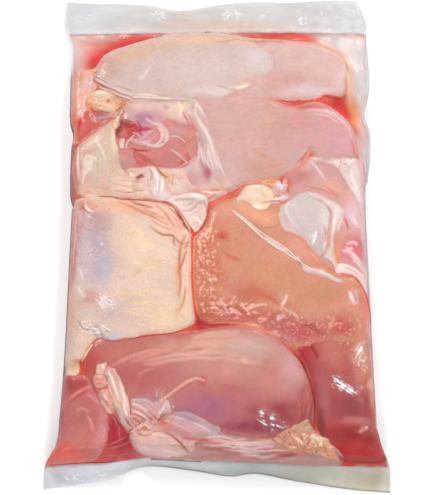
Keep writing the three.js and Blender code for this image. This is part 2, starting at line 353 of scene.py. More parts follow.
def paint(x, y, tone, stains, seed):
    """Colour at plan points: a tone, and soft-edged stains (x, y, half sizes, turn, tone, strength) on it."""
    colour = np.broadcast_to(seen(tone), x.shape + (3,)).copy()
    warped_x = x + 2.5 * noise(x, y, 13, seed) + 1.2 * noise(x, y, 5, seed + 1)
    warped_y = y + 2.5 * noise(x, y, 13, seed + 2) + 1.2 * noise(x, y, 5, seed + 3)
    for *spot, stain, strength in stains:
        share = strength * np.exp(-(oval(warped_x, warped_y, spot) ** 1.4))
        colour = mixed(colour, seen(stain), share)
    return colour


# Meshes


def as_points(x, y, z):
    """Rows of points, from grids of their places and heights."""
    return np.column_stack([x.ravel(), y.ravel(), z.ravel()])


def mesh_object(name, points, faces, material, **attributes):
    """A smooth mesh piece riding the bag, from points in millimetres."""
    mesh = bpy.data.meshes.new(name)
    mesh.from_pydata((np.asarray(points) * MM).tolist(), [], faces)
    mesh.materials.append(material)
    for key, values in attributes.items():
        values = np.asarray(values, float)
        if values.ndim == 2:
            layer = mesh.attributes.new(key, "FLOAT_COLOR", "POINT")
            layer.data.foreach_set("color", np.column_stack([values, np.ones(len(values))]).ravel())
        else:
            layer = mesh.attributes.new(key, "FLOAT", "POINT")
            layer.data.foreach_set("value", values)
    mesh.shade_smooth()
    mesh.update()
    piece = bpy.data.objects.new(name, mesh)
    bpy.context.scene.collection.objects.link(piece)
    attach(piece, "root")
    return piece


def ring_faces(rings, around, capped=True):
    """Faces of a closed form of rings of points, from a first point to a last one if it is capped."""
    a = np.arange(around)
    b = (a + 1) % around
    first = 1 if capped else 0
    faces = []
    for ring in range(rings - 1):
        low, high = first + ring * around, first + (ring + 1) * around
        faces += list(zip(low + a, high + a, high + b, low + b))
    if capped:
        last = 1 + rings * around
        faces += [(0, 1 + i, 1 + j) for i, j in zip(a, b)]
        faces += [(last, last - around + j, last - around + i) for i, j in zip(a, b)]
    return faces


def grid_faces(rows, columns, keep=None, flip=False):
    """Faces of a sheet of points in rows, only where keep holds at all four corners."""
    at = np.arange(rows * columns).reshape(rows, columns)
    quads = np.stack([at[:-1, :-1], at[:-1, 1:], at[1:, 1:], at[1:, :-1]], axis=-1).reshape(-1, 4)
    if keep is not None:
        quads = quads[keep.ravel()[quads].all(axis=1)]
    return (quads[:, ::-1] if flip else quads).tolist()


# What the bag holds: maps of the top, its colour and the underside of all pieces so far

top_map = np.full(XX.shape, BARE_TOP)
top_tint = np.broadcast_to(seen(DEEP_JUICE), XX.shape + (3,)).copy()
under_map = bed(XX, YY) + BARE_RISE * np.minimum(film_depth(XX, YY) / BARE_REACH, 1)


def near(outline):
    """The part of the maps round an outline."""
    low, high = outline.min(axis=0) - 2, outline.max(axis=0) + 2
    columns = slice(*np.searchsorted(GRID_X, (low[0], high[0])))
    rows = slice(*np.searchsorted(GRID_Y, (low[1], high[1])))
    return rows, columns


def ragged(outline, amount, seed):
    """An outline with small bites and bulges."""
    x, y = outline.T
    return outline + amount * np.column_stack([noise(x, y, 4, seed), noise(x, y, 4, seed + 7)])


def nearest_on(line, outline):
    """The point of a line that belongs to each point of an outline round it."""
    gap = np.hypot(outline[:, None, 0] - line[None, :, 0], outline[:, None, 1] - line[None, :, 1])
    found = line[np.argmin(gap, axis=1)]
    for _ in range(6):
        found = (np.roll(found, 1, axis=0) + 2 * found + np.roll(found, -1, axis=0)) / 4
    return found


def build(name, outline, centre, surface, underside, colour, finish, rings, marks):
    """A closed piece over an outline, from the heights of its top and underside.

    Its rings shrink to its centre, which is a point, or a line where the piece is long or bent.
    """
    around = len(outline)
    centre = outline.mean(axis=0) if centre is None else np.asarray(centre, float)
    pointed = centre.ndim == 1
    even = np.linspace(0, 1, rings + 1)[int(pointed):]
    out = 0.6 * even + 0.4 * np.sin(even * math.pi / 2)
    back = np.sin(np.linspace(math.pi / 2, 0, rings // 5 + 1))[:rings // 5 + 1 - int(pointed)]
    inner = centre if pointed else nearest_on(curve(centre, 160, closed=False), outline)

    def plan(share):
        spread = inner + share[:, None, None] * (outline - inner)
        return spread[..., 0], spread[..., 1]

    x, y = plan(out)
    bx, by = plan(back)
    top = surface(x, y, depth(outline, x, y, False))
    low = underside(bx, by, depth(outline, bx, by, False))
    rows = [as_points(x, y, top), as_points(bx, by, low)]
    if pointed:
        cx, cy = np.array([[centre[0]]]), np.array([[centre[1]]])
        middle = depth(outline, cx, cy, False)
        rows.insert(0, [[*centre, surface(cx, cy, middle)[0, 0]]])
        rows.append([[*centre, underside(cx, cy, middle)[0, 0]]])
    points = np.vstack(rows)
    px, py = points[:, 0], points[:, 1]
    d = depth(outline, px, py, False)
    faces = ring_faces(len(out) + len(back), around, pointed)
    marked = np.clip(MARKS + patches(px, py, marks), 0, 1)
    piece = mesh_object(name, points, faces, finish, tint=colour(px, py, d), marks=marked)
    return piece


def colouring(tone, stains, rim, rim_reach, creases, crease_dye_and_shade, seed):
    """The colour of a piece: its stains; its creases, juice-dyed and darkened as painted shade, with pale
    strokes of painted highlight; and its rim, which the juice has dyed, tinted orange as painted light
    glowing through its thin edge.
    """

    def colour(x, y, d):
        shade = paint(x, y, tone, stains, seed)
        for line, _, width, *own_tone in creases:
            gap, along = line_distance(line, x, y)
            share = bell(gap, 1.25 * width) * np.sin(math.pi * along) ** 0.4
            shade = mixed(shade, seen(own_tone[0] if own_tone else crease_dye_and_shade), share)
        if rim is not None:
            shade = mixed(shade, seen(rim), RIM_SHARE * np.exp(-d / rim_reach))
        return shade

    return colour


def crease_lines(creases):
    made = []
    for deep, width, points, *tone in creases:
        long = np.hypot(*np.diff(np.asarray(points, float), axis=0).T).sum()
        made.append((curve(points, max(6, int(1.6 * long)), closed=False), deep, width, *tone))
    return made


def squiggles(x, y, wide, high, count, seed, tone):
    """Short raised threads of torn membrane, scattered over an oval."""
    draw = np.random.default_rng(seed)
    made = []
    for _ in range(count):
        far, turn = math.sqrt(draw.uniform(0, 1)), draw.uniform(0, 2 * math.pi)
        start = (x + wide * far * math.cos(turn), y + high * far * math.sin(turn))
        steps = np.cumsum(draw.uniform(-1.3, 1.3, (3, 2)), axis=0)
        made.append((-0.15, draw.uniform(0.45, 0.7), np.vstack([[start], start + steps]), tone))
    return made


def creased(z, d, x, y, lines):
    """A surface with its creases pressed in."""
    fade = np.minimum(d / 2, 1)
    for line, deep, width, *_ in lines:
        z = z - fade * deep * bell(line_distance(line, x, y)[0], width)
    return z


def bundle(first, last, count, deep, width, seed, tone=None):
    """Creases spread between two guide lines, each wandering a little and starting and ending anywhere."""
    draw = np.random.default_rng(seed)
    first, last = curve(first, 40, closed=False), curve(last, 40, closed=False)
    made = []
    for k in range(count):
        share = (k + draw.uniform(0.1, 0.9)) / count
        line = first * (1 - share) + last * share
        line = line + 1.1 * np.column_stack([noise(*line.T, 7, seed + k), noise(*line.T, 7, seed + k + 50)])
        start, stop = int(draw.uniform(0, 14)), int(draw.uniform(26, 40))
        strength = draw.uniform(0.5, 1)
        crease = (deep * strength, width * (0.6 + 0.4 * strength), line[start:stop:3])
        made.append((*crease, tone) if tone else crease)
    return made


def spread(outline, amount):
    """An outline pushed outwards, but kept inside the bag."""
    run = np.roll(outline, -1, axis=0) - np.roll(outline, 1, axis=0)
    x, y = outline.T
    turn = np.sign(np.sum(x * np.roll(y, -1) - y * np.roll(x, -1)))
    out = np.column_stack([run[:, 1], -run[:, 0]]) * turn / np.hypot(*run.T)[:, None]
    x, y = (outline + amount * out).T
    y = np.clip(y, bottom_seam_line(x) + INSET, top_seam_line(x) - INSET)
    return np.column_stack([np.clip(x, left_edge(y) + INSET, right_edge(y) - INSET), y])


def over(beneath, colour, cover):
    """A colour that lets what lies beneath shine through where it covers little."""

    def seen_through(x, y, d):
        low = np.stack([read(beneath[..., k], x, y) for k in range(3)], axis=-1)
        return mixed(low, colour(x, y, d), cover(d))

    return seen_through


def press(outline, surface, colour, underside=None):
    """Writes a piece's heights and colours into the maps of what the bag holds."""
    area = near(outline)
    x, y = XX[area], YY[area]
    d = depth(outline, x, y)
    z = surface(x, y, d)
    higher = (d > 0) & (z > top_map[area])
    top_tint[area] = np.where(higher[..., None], colour(x, y, d), top_tint[area])
    top_map[area] = np.where(higher, z, top_map[area])
    if underside:
        under_map[area] = np.where(d > 0, np.minimum(under_map[area], underside(x, y, d)), under_map[area])


def lump(name, points, peak, reach, finish, tone, *, stains=(), rim=(232, 140, 118),
         rim_reach=1.6, relief=(), creases=(), dome=1.6, grow=0.8, centre=None, around=240, rings=44,
         seed=1, marks=()):
    """A whole piece, from the underside of the bag to its top."""
    outline = spread(ragged(curve(points, around), LUMP_RAGGED, seed), grow)
    x, y = outline.T
    outline = np.column_stack([np.clip(x, left_edge(y) + SIDE_MARGIN, right_edge(y) - SIDE_MARGIN), y])
    lines = crease_lines(creases)

    def surface(x, y, d):
        height = peak - dome * np.exp(-d / DOME_REACH)
        z = WALL_TOP + (height - WALL_TOP) * shoulder(d, reach)
        z = z + np.minimum(d / 3, 1) * sum(r(x, y) for r in relief)
        return soft_min(creased(z, d, x, y, lines), roof(x, y))

    def underside(x, y, d):
        hollow = np.maximum(0.5 * noise(x, y, 22, seed + 4) + 0.4, 0)
        z = WALL_LOW - (WALL_LOW - FLOOR - hollow) * shoulder(d, reach)
        return -soft_min(-z, -bed(x, y))

    colour = colouring(tone, stains, rim, rim_reach, lines, MEAT_CREASE_DYE_AND_SHADE, seed)
    build(name, outline, centre, surface, underside, colour, finish, rings, marks)
    press(outline, surface, colour, underside)


def patch(name, points, thick, reach, finish, tone, *, stains=(), rim=None, rim_reach=1.4,
          relief=(), creases=(), edge=1.0, soft=0.5, sheer=1.0, centre=None, ragged_by=0.6, around=200,
          rings=36, seed=1, marks=()):
    """A piece that lies on the others: loose skin, membrane or fat, thinning out over its soft edge."""
    base = top_map.copy()
    plain = curve(points, around)
    flat = 1 - smooth_share(read(np.hypot(*np.gradient(base)), *plain.T), GENTLE_SLOPE, STEEP_SLOPE)
    outline = plain + (ragged(plain, ragged_by, seed) - plain) * flat[:, None]
    lines = crease_lines(creases)

    def surface(x, y, d):
        swell = 1 - np.exp(-((d / reach) ** edge))
        z = read(base, x, y) + thick * swell
        z = z + np.minimum(d / 2, 1) * sum(r(x, y) for r in relief)
        return np.minimum(creased(z, d, x, y, lines), roof(x, y) + PATCH_OVER_ROOF)

    def underside(x, y, d):
        return np.minimum(read(base, x, y), roof(x, y)) - PATCH_DEPTH * shoulder(d, reach)

    def cover(d):
        return sheer * (1 - np.exp(-((d / soft) ** 1.5)))

    colour = colouring(tone, stains, rim, rim_reach, lines, SKIN_CREASE_DYE_AND_SHADE, seed)
    colour = over(top_tint.copy(), colour, cover)
    build(name, outline, centre, surface, underside, colour, finish, rings, marks)
    press(outline, surface, colour)


def strand(name, points, width, height, finish, tone, *, taper=0.3, seed=1, count=90,
           sheer=1.0):
    """A tendon, thread or fold along a line: a flat closed tube, thinning out at its sides."""
    line = curve(points, count, closed=False)
    run = np.gradient(line, axis=0)
    side = np.column_stack([-run[:, 1], run[:, 0]]) / np.hypot(*run.T)[:, None]
    share = np.linspace(0, 1, count)
    swell = taper + (1 - taper) * np.sin(math.pi * share) ** 0.6
    swell = swell * (1 + 0.3 * noise(share * 60, 0 * share, 7, seed))
    turn = np.linspace(0, 2 * math.pi, STRAND_SIDES + 1)[:-1]
    offset = np.cos(turn)[None, :] * (0.5 * width * swell)[:, None]
    x = line[:, :1] + side[:, :1] * offset
    y = line[:, 1:] + side[:, 1:] * offset
    base = read(top_map, line[:, 0], line[:, 1])[:, None]
    z = base + np.sin(turn)[None, :] * (height * swell)[:, None]
    rings = np.stack([x, y, z], axis=-1).reshape(-1, 3)
    points = np.vstack([[[*line[0], base[0, 0]]], rings, [[*line[-1], base[-1, 0]]]])

    def cover(gap):
        return sheer * np.clip(1.5 - 3 * gap / width, 0, 1)

    colour = over(top_tint.copy(), lambda x, y, gap: seen(tone), cover)
    gap, _ = line_distance(line, points[:, 0], points[:, 1])
    piece = mesh_object(
        name, points, ring_faces(count, STRAND_SIDES), finish,
        tint=colour(*points[:, :2].T, gap), marks=np.full(len(points), MARKS),
    )
    area = near(line)
    gap, _ = line_distance(line, XX[area], YY[area])
    top_tint[area] = colour(XX[area], YY[area], gap)
    top_map[area] = np.where(gap < 0.4 * width, top_map[area] + height * 0.8, top_map[area])


# Materials


class Shader:
    """A material's nodes, made and linked in one call each."""

    def __init__(self, name):
        self.material = bpy.data.materials.new(name)
        self.material.use_nodes = True
        self.tree = self.material.node_tree
        self.tree.nodes.clear()

    def add(self, kind, sockets=(), **settings):
        node = self.tree.nodes.new("ShaderNode" + kind)
        for key, value in settings.items():
            setattr(node, key, value)
        for key, value in dict(sockets).items():
            if isinstance(value, bpy.types.NodeSocket):
                self.tree.links.new(value, node.inputs[key])
            else:
                node.inputs[key].default_value = value
        return node

    def mix(self, share, a, b, blend="MIX"):
        node = self.add("Mix", {0: share, 6: a, 7: b}, data_type="RGBA", blend_type=blend)
        return node.outputs[2]

    def ramp(self, value, low, high, to_low, to_high):
        node = self.add("MapRange", {0: value, 1: low, 2: high, 3: to_low, 4: to_high})
        return node.outputs[0]

    def shaded(self, colour, value, low, high, dark, light):
        """A colour, made darker or lighter as a value rises from low to high."""
        return self.mix(1.0, colour, self.ramp(value, low, high, dark, light), "MULTIPLY")

    def attribute(self, name, output="Fac"):
        return self.add("Attribute", attribute_name=name).outputs[output]

    def bump(self, height, strength, distance):
        sockets = {"Strength": strength, "Distance": distance, "Height": height}
        return self.add("Bump", sockets).outputs[0]

    def mapped(self, turn=0.0, stretch=(1, 1, 1)):
        place = self.add("TexCoord").outputs["Object"]
        turned = self.add("Mapping", {0: place, "Rotation": (0, 0, math.radians(-turn))}).outputs[0]
        return self.add("Mapping", {0: turned, "Scale": stretch}).outputs[0]

    def noise(self, place, scale, detail=3.0, rough=0.55):
        sockets = {"Vector": place, "Scale": scale, "Detail": detail, "Roughness": rough}
        return self.add("TexNoise", sockets).outputs["Fac"]

    def sum(self, a, b, weight=1.0):
        return self.add("Math", {0: b, 1: weight, 2: a}, operation="MULTIPLY_ADD").outputs[0]

    def product(self, a, b):
        return self.add("Math", {0: a, 1: b}, operation="MULTIPLY").outputs[0]

    def ridges(self, place, scale, width):
        """Thin wandering lines, where a noise crosses its middle."""
        off = self.add("Math", {0: self.noise(place, scale, 3, 0.5), 1: 0.5}, operation="SUBTRACT").outputs[0]
        return self.ramp(self.add("Math", {0: off}, operation="ABSOLUTE").outputs[0], 0, width, 1, 0)

    def threads(self, turn):
        """Fine short lines that run at an angle: the streaks of the film's painted glints."""
        return self.ramp(self.noise(self.mapped(turn, (0.22, 1, 1)), 760, 1, 0.4), 0.54, 0.63, 0, 1)

    def finish(self, shader):
        self.tree.links.new(shader, self.add("OutputMaterial").inputs["Surface"])
        return self.material


def flesh(name, *, grain=None, grain_depth=0.03, pores=0.0, mottle=0.12, blush=(214, 120, 110), flecks_and_glints=0.0,
          wrinkles=None, wrinkle_tone=(222, 140, 104), bump=0.0004, soft=0.18, uneven=0.05):
    """Wet food under film: its painted tint, with fibres, pores, wrinkles, white flecks that are partly
    painted glints, mottling and bumps.
    """
    s = Shader(name)
    tint = s.attribute("tint", "Color")
    marks = s.attribute("marks")
    place = s.mapped()
    cloud = s.noise(place, 95, 4)
    colour = s.mix(s.ramp(cloud, 0.42, 0.75, 0, mottle), tint, (*rgb(blush), 1))
    broad = s.noise(place, 75, 3, 0.5)
    colour = s.shaded(colour, broad, 0.3, 0.7, 1 - uneven, 1 + uneven)
    colour = s.shaded(colour, s.noise(place, 230, 4, 0.6), 0.32, 0.68, 0.965, 1.035)
    fine = s.noise(place, 560, 4, 0.6)
    colour = s.shaded(colour, fine, 0.3, 0.7, 0.95, 1.04)
    height = fine
    if grain is not None:
        fibres = s.noise(s.mapped(grain, (0.12, 1, 1)), 430, 4, 0.65)
        colour = s.shaded(colour, fibres, 0.3, 0.7, 1 - grain_depth, 1 + grain_depth)
        height = s.sum(height, fibres)
    if pores:
        cells = s.add("TexVoronoi", {"Vector": place, "Scale": 400.0, "Randomness": 1.0})
        dots = s.ramp(cells.outputs["Distance"], 0.15, 0.7, 1, 0)
        dots = s.product(dots, s.ramp(s.noise(place, 55, 3), 0.38, 0.62, 0.25, 1))
        colour = s.shaded(colour, dots, 0, 1, 0.97, 1.025)
        height = s.sum(height, dots, pores)
    if wrinkles is not None:
        lines = s.ridges(s.mapped(wrinkles, (0.3, 1, 1)), 150, 0.035)
        lines = s.sum(lines, s.ridges(s.mapped(wrinkles + 70, (0.4, 1, 1)), 230, 0.022), 0.6)
        lines = s.product(lines, marks)
        colour = s.mix(lines, colour, (*rgb(wrinkle_tone), 1))
        height = s.sum(height, lines, -3.0)
    # White specks: flecks of fat, and partly painted glints of the film
    if flecks_and_glints:
        spots = s.product(s.ramp(s.noise(place, 480, 2, 0.7), 0.58, 0.64, 0, flecks_and_glints), marks)
        colour = s.mix(spots, colour, (*rgb((252, 214, 192)), 1))
        height = s.sum(height, spots)
    sockets = {
        "Base Color": colour, "Roughness": 0.5, "Normal": s.bump(height, 0.6, bump),
        "Subsurface Weight": soft,
        "Subsurface Radius": (0.004, 0.0016, 0.001), "Subsurface Scale": 1.0, "Specular IOR Level": 0.12,
    }
    return s.finish(s.add("BsdfPrincipled", sockets).outputs[0])


def juice_finish():
    """Pink juice, thin at its edges and deep in the grooves."""
    s = Shader("juice")
    tint = s.attribute("tint", "Color")
    place = s.mapped()
    colour = s.shaded(tint, s.noise(place, 160, 4), 0.3, 0.7, 0.9, 1.08)
    normal = s.bump(s.noise(place, 240, 3), 0.3, 0.0005)
    sockets = {"Base Color": colour, "Roughness": 0.4, "Normal": normal, "Specular IOR Level": 0.1}
    return s.finish(s.add("BsdfPrincipled", sockets).outputs[0])


def film_finish():
    """Clear film: a milky veil, stronger in the fins, a gloss on its crinkles, and white streaks painted on
    it as glints.
    """
    s = Shader("film")
    veil = s.attribute("veil")
    tint = s.attribute("tint", "Color")
    crisp = s.attribute("crisp")
    place = s.mapped()
    streaks = s.noise(s.mapped(80, (1, 0.25, 1)), 60, 4)
    veil = s.product(veil, s.ramp(streaks, 0.3, 0.75, 0.75, 1.3))
    ridges = s.sum(s.ridges(place, 120, 0.2), s.ridges(place, 300, 0.2), 0.4)
    normal = s.bump(s.product(ridges, crisp), 1.0, 0.0022)
    steep = s.attribute("steep")
    flat_threads = s.threads(-30)
    steep_threads = s.threads(60)
    threads = s.sum(s.product(flat_threads, s.ramp(steep, 0, 1, 1, 0)), s.product(steep_threads, steep))
    threads = s.product(threads, s.ramp(s.noise(place, 120, 2), 0.4, 0.5, 0, 1))
    # Painted highlights: white streaks mixed into the crinkled film as glints
    bright = s.product(s.ramp(crisp, 0.3, 0.85, 0, 1), threads)
    glint = s.add("Math", {0: bright, 1: 0.95}, operation="MINIMUM")
    clear = s.add("BsdfTransparent", {"Color": (0.99, 0.99, 0.99, 1)}).outputs[0]
    milk = s.add("BsdfDiffuse", {"Color": tint}).outputs[0]
    # The white of the painted glints
    white = s.add("BsdfDiffuse", {"Color": (0.95, 0.95, 0.96, 1)}).outputs[0]
    gloss = s.add("BsdfGlossy", {"Color": (1, 1, 1, 1), "Roughness": 0.1, "Normal": normal}).outputs[0]
    body = s.add("MixShader", {0: veil, 1: clear, 2: milk}).outputs[0]
    body = s.add("MixShader", {0: glint.outputs[0], 1: body, 2: white}).outputs[0]
    return s.finish(s.add("MixShader", {0: s.ramp(crisp, 0, 1, 0.008, 0.045), 1: body, 2: gloss}).outputs[0])


BREAST = flesh("bare_breast", grain=8)
BREAST_DOWN = flesh("bare_breast_down", grain=-25, mottle=0.18)
COARSE = flesh("coarse_meat", grain=70, mottle=0.25, flecks_and_glints=1.0, wrinkles=60, wrinkle_tone=(206, 96, 84),
               blush=(206, 100, 84), bump=0.0007)
DARK = flesh("dark_meat", grain=40, mottle=0.3, blush=(176, 70, 70), grain_depth=0.06, wrinkles=30,
             wrinkle_tone=(160, 50, 54))
PIMPLED = flesh("pimpled_skin", pores=1.0, mottle=0.2, blush=(246, 196, 160), bump=0.0006, wrinkles=-22)
SKIN = flesh("loose_skin", pores=0.5, mottle=0.14, blush=(238, 182, 156), bump=0.0005, wrinkles=10,
             uneven=0.035)
PALE = flesh("pale_skin", mottle=0.1, blush=(232, 190, 182), bump=0.0005, wrinkles=4)
MEMBRANE = flesh("membrane", mottle=0.14, blush=(228, 176, 172), bump=0.0003, wrinkles=60,
                 wrinkle_tone=(230, 170, 160))
FAT = flesh("fat", pores=0.9, mottle=0.2, blush=(246, 196, 140), bump=0.0008, soft=0.3, wrinkles=35)
TORN = flesh("torn_fat", pores=1.4, mottle=0.3, blush=(250, 214, 166), bump=0.001, soft=0.3, wrinkles=62,
             wrinkle_tone=(214, 122, 88))
JUICE = juice_finish()
FILM = film_finish()

# The breasts and other whole pieces. A stain is x, y, half sizes, turn, tone and strength. A crease is depth,
# width, points and tone. Dark crease tones are juice with painted shade; many strokes of no depth are painted
# highlights where pale and painted shade where dark.

lump(
    "top_breast",
    [(-101, 121), (-101.5, 128), (-101, 134), (-98.5, 140), (-95, 145), (-88, 149), (-78, 153),
        (-68, 156.5), (-58, 160), (-50, 162), (-40, 164.5), (-20, 166), (0, 166), (15, 163.5), (30, 161),
        (50, 159.5), (65, 158), (80, 156.5), (92, 152.5), (102, 147), (107, 140), (108, 130), (107.5, 121),
        (107, 112), (103, 107), (97, 107.5), (90, 108), (84, 105.5), (78, 103), (60, 102.8), (50, 103),
        (40, 103.2), (20, 101), (0, 100), (-18, 100), (-45, 100), (-66, 100), (-74, 102), (-80, 106),
        (-88, 111), (-95, 116)],
    34.8, 3, BREAST, (217, 181, 175), rim=(238, 182, 164), around=200, rings=38, seed=11,
    stains=[(78, 110, 26, 6, 0, (227, 200, 202), 0.9), (56, 120, 22, 9, 10, (211, 157, 148), 0.6),
        (92, 151, 26, 4, -22, (225, 154, 113), 0.9), (103, 124, 5, 12, 0, (233, 201, 204), 0.6),
        (88, 134, 20, 12, 0, (224, 186, 179), 0.5), (50, 157, 40, 3, -2, (197, 135, 96), 0.8),
        (106, 132, 3, 14, 0, (244, 207, 191), 0.8)],
    relief=[lumpy(40, 0.6, 3)],
    creases=[
        (0.3, 0.7, [(107, 122), (107.5, 114), (106, 109), (104, 107)], (196, 120, 98)),
        (0, 0.7, [(-20, 101.5), (0, 101.3), (8, 103.5), (14, 106.5), (24, 106.5), (33, 106)],
            (212, 160, 142)),
    ],
)
lump(
    "second_breast",
    [(-20, 100), (-10, 105), (0, 106), (20, 106), (33, 105.5), (44, 102.5), (54, 98), (64, 96), (74, 98.5),
        (82, 99.5), (90, 97.5), (98, 92.5), (104, 86.5), (109, 80), (112, 72), (113.5, 62), (113, 54),
        (110, 49), (96, 47), (86, 47.5), (80, 49.5), (76.5, 54), (72.5, 50), (67.5, 43.2), (61, 38.4),
        (52, 33), (44, 31), (36, 29.3), (28, 27.7), (20, 26), (14, 22), (8, 20), (2, 24), (-8, 44),
        (-14, 66), (-20, 84)],
    35.6, 3.5, BREAST, (211, 170, 163), centre=(72, 78), rim=(230, 160, 146), around=220, rings=48, seed=12,
    dome=2.0,
    stains=[(28, 72, 7, 32, 2, (216, 174, 160), 0.8), (12, 74, 12, 30, 8, (213, 172, 162), 0.7),
        (48, 76, 10, 26, 0, (207, 157, 141), 0.6), (92, 72, 24, 22, 0, (213, 159, 160), 0.9),
        (103, 60, 11, 9, 0, (224, 163, 175), 0.8), (66, 80, 11, 12, -10, (212, 147, 139), 0.6),
        (12, 38, 10, 14, 0, (216, 181, 178), 0.8), (58, 48, 14, 10, 20, (208, 172, 168), 0.6),
        (74, 95, 20, 4, 0, (205, 100, 95), 0.9), (96, 88, 14, 5, -25, (206, 151, 146), 0.5),
        (40, 40, 16, 8, 8, (210, 146, 121), 0.5)],
    relief=[lumpy(45, 0.7, 5)],
    creases=[
        (0, 1.3, [(70, 91), (80, 91.5), (91, 89.5), (100, 84), (107, 76), (109, 66)], (232, 190, 188)),
        (0, 0.8, [(78, 88), (90, 86), (100, 79)], (230, 184, 184)),
        (0, 0.9, [(109, 64), (110.5, 56), (110.5, 50)], (226, 120, 134)),
        (0, 1.2, [(28, 58), (35, 51), (43, 48.5)], (212, 158, 132)),
        (0, 1.4, [(40, 88), (41, 74), (38, 60)], (218, 168, 148)),
        (0.8, 1.0, [(76, 58), (73, 53), (69, 48), (64, 43)], (218, 104, 88)),
    ],
)
lump(
    "shoulder",
    [(-113, 62), (-104, 74), (-92, 86), (-80, 96), (-60, 101), (-36, 101), (-20, 98), (-8, 84), (0, 64),
        (5, 40), (9, 23), (-4, 14), (-24, 14), (-50, 12), (-80, 14), (-98, 14), (-110, 16), (-116, 32),
        (-118, 48)],
    32.6, 4, DARK, (213, 141, 134), rim=(224, 146, 128), around=180, rings=46, seed=13,
    stains=[(-73, 77, 12, 7, 10, (140, 22, 36), 1.0), (-62, 78, 8, 6, -30, (180, 50, 84), 0.95),
        (-73, 69, 6, 7, 0, (199, 78, 71), 0.8), (-58, 68, 8, 7, 0, (214, 156, 156), 0.95),
        (-61, 48, 7, 6, -25, (214, 98, 102), 0.9), (-54, 55, 14, 4, -10, (221, 142, 129), 0.8),
        (-33, 73, 7, 6, 0, (205, 159, 157), 0.9), (-22, 62, 3.5, 14, 0, (204, 153, 131), 0.85),
        (-40, 47, 14, 7, 0, (192, 123, 119), 0.8), (-32, 61, 8, 7, 0, (209, 138, 129), 0.8)],
    relief=[lumpy(16, 0.6, 6)],
    creases=[
        (1.0, 0.9, [(-70, 57), (-63, 51.5), (-56, 46.5), (-50, 41)], (130, 34, 40)),
        (0.5, 0.8, [(-72, 57), (-64, 56), (-54, 55)], (170, 60, 62)),
        (0.6, 0.8, [(-69, 55), (-67, 49), (-63, 42)], (196, 96, 96)),
        (0.5, 0.8, [(-29, 50), (-28, 46), (-31, 41)], (176, 70, 66)),
        (0, 1.6, [(-78, 84), (-81, 78), (-82, 72), (-80, 66)], (110, 26, 30)),
        (0, 1.0, [(-76, 77), (-73, 80), (-68, 79), (-66, 75)], (226, 130, 128)),
        (0.3, 0.8, [(-26, 55), (-23, 48), (-25, 43)], (190, 84, 70)),
    ],
    marks=[(-50, 55, 34, 30, 0, 0.15)],
)
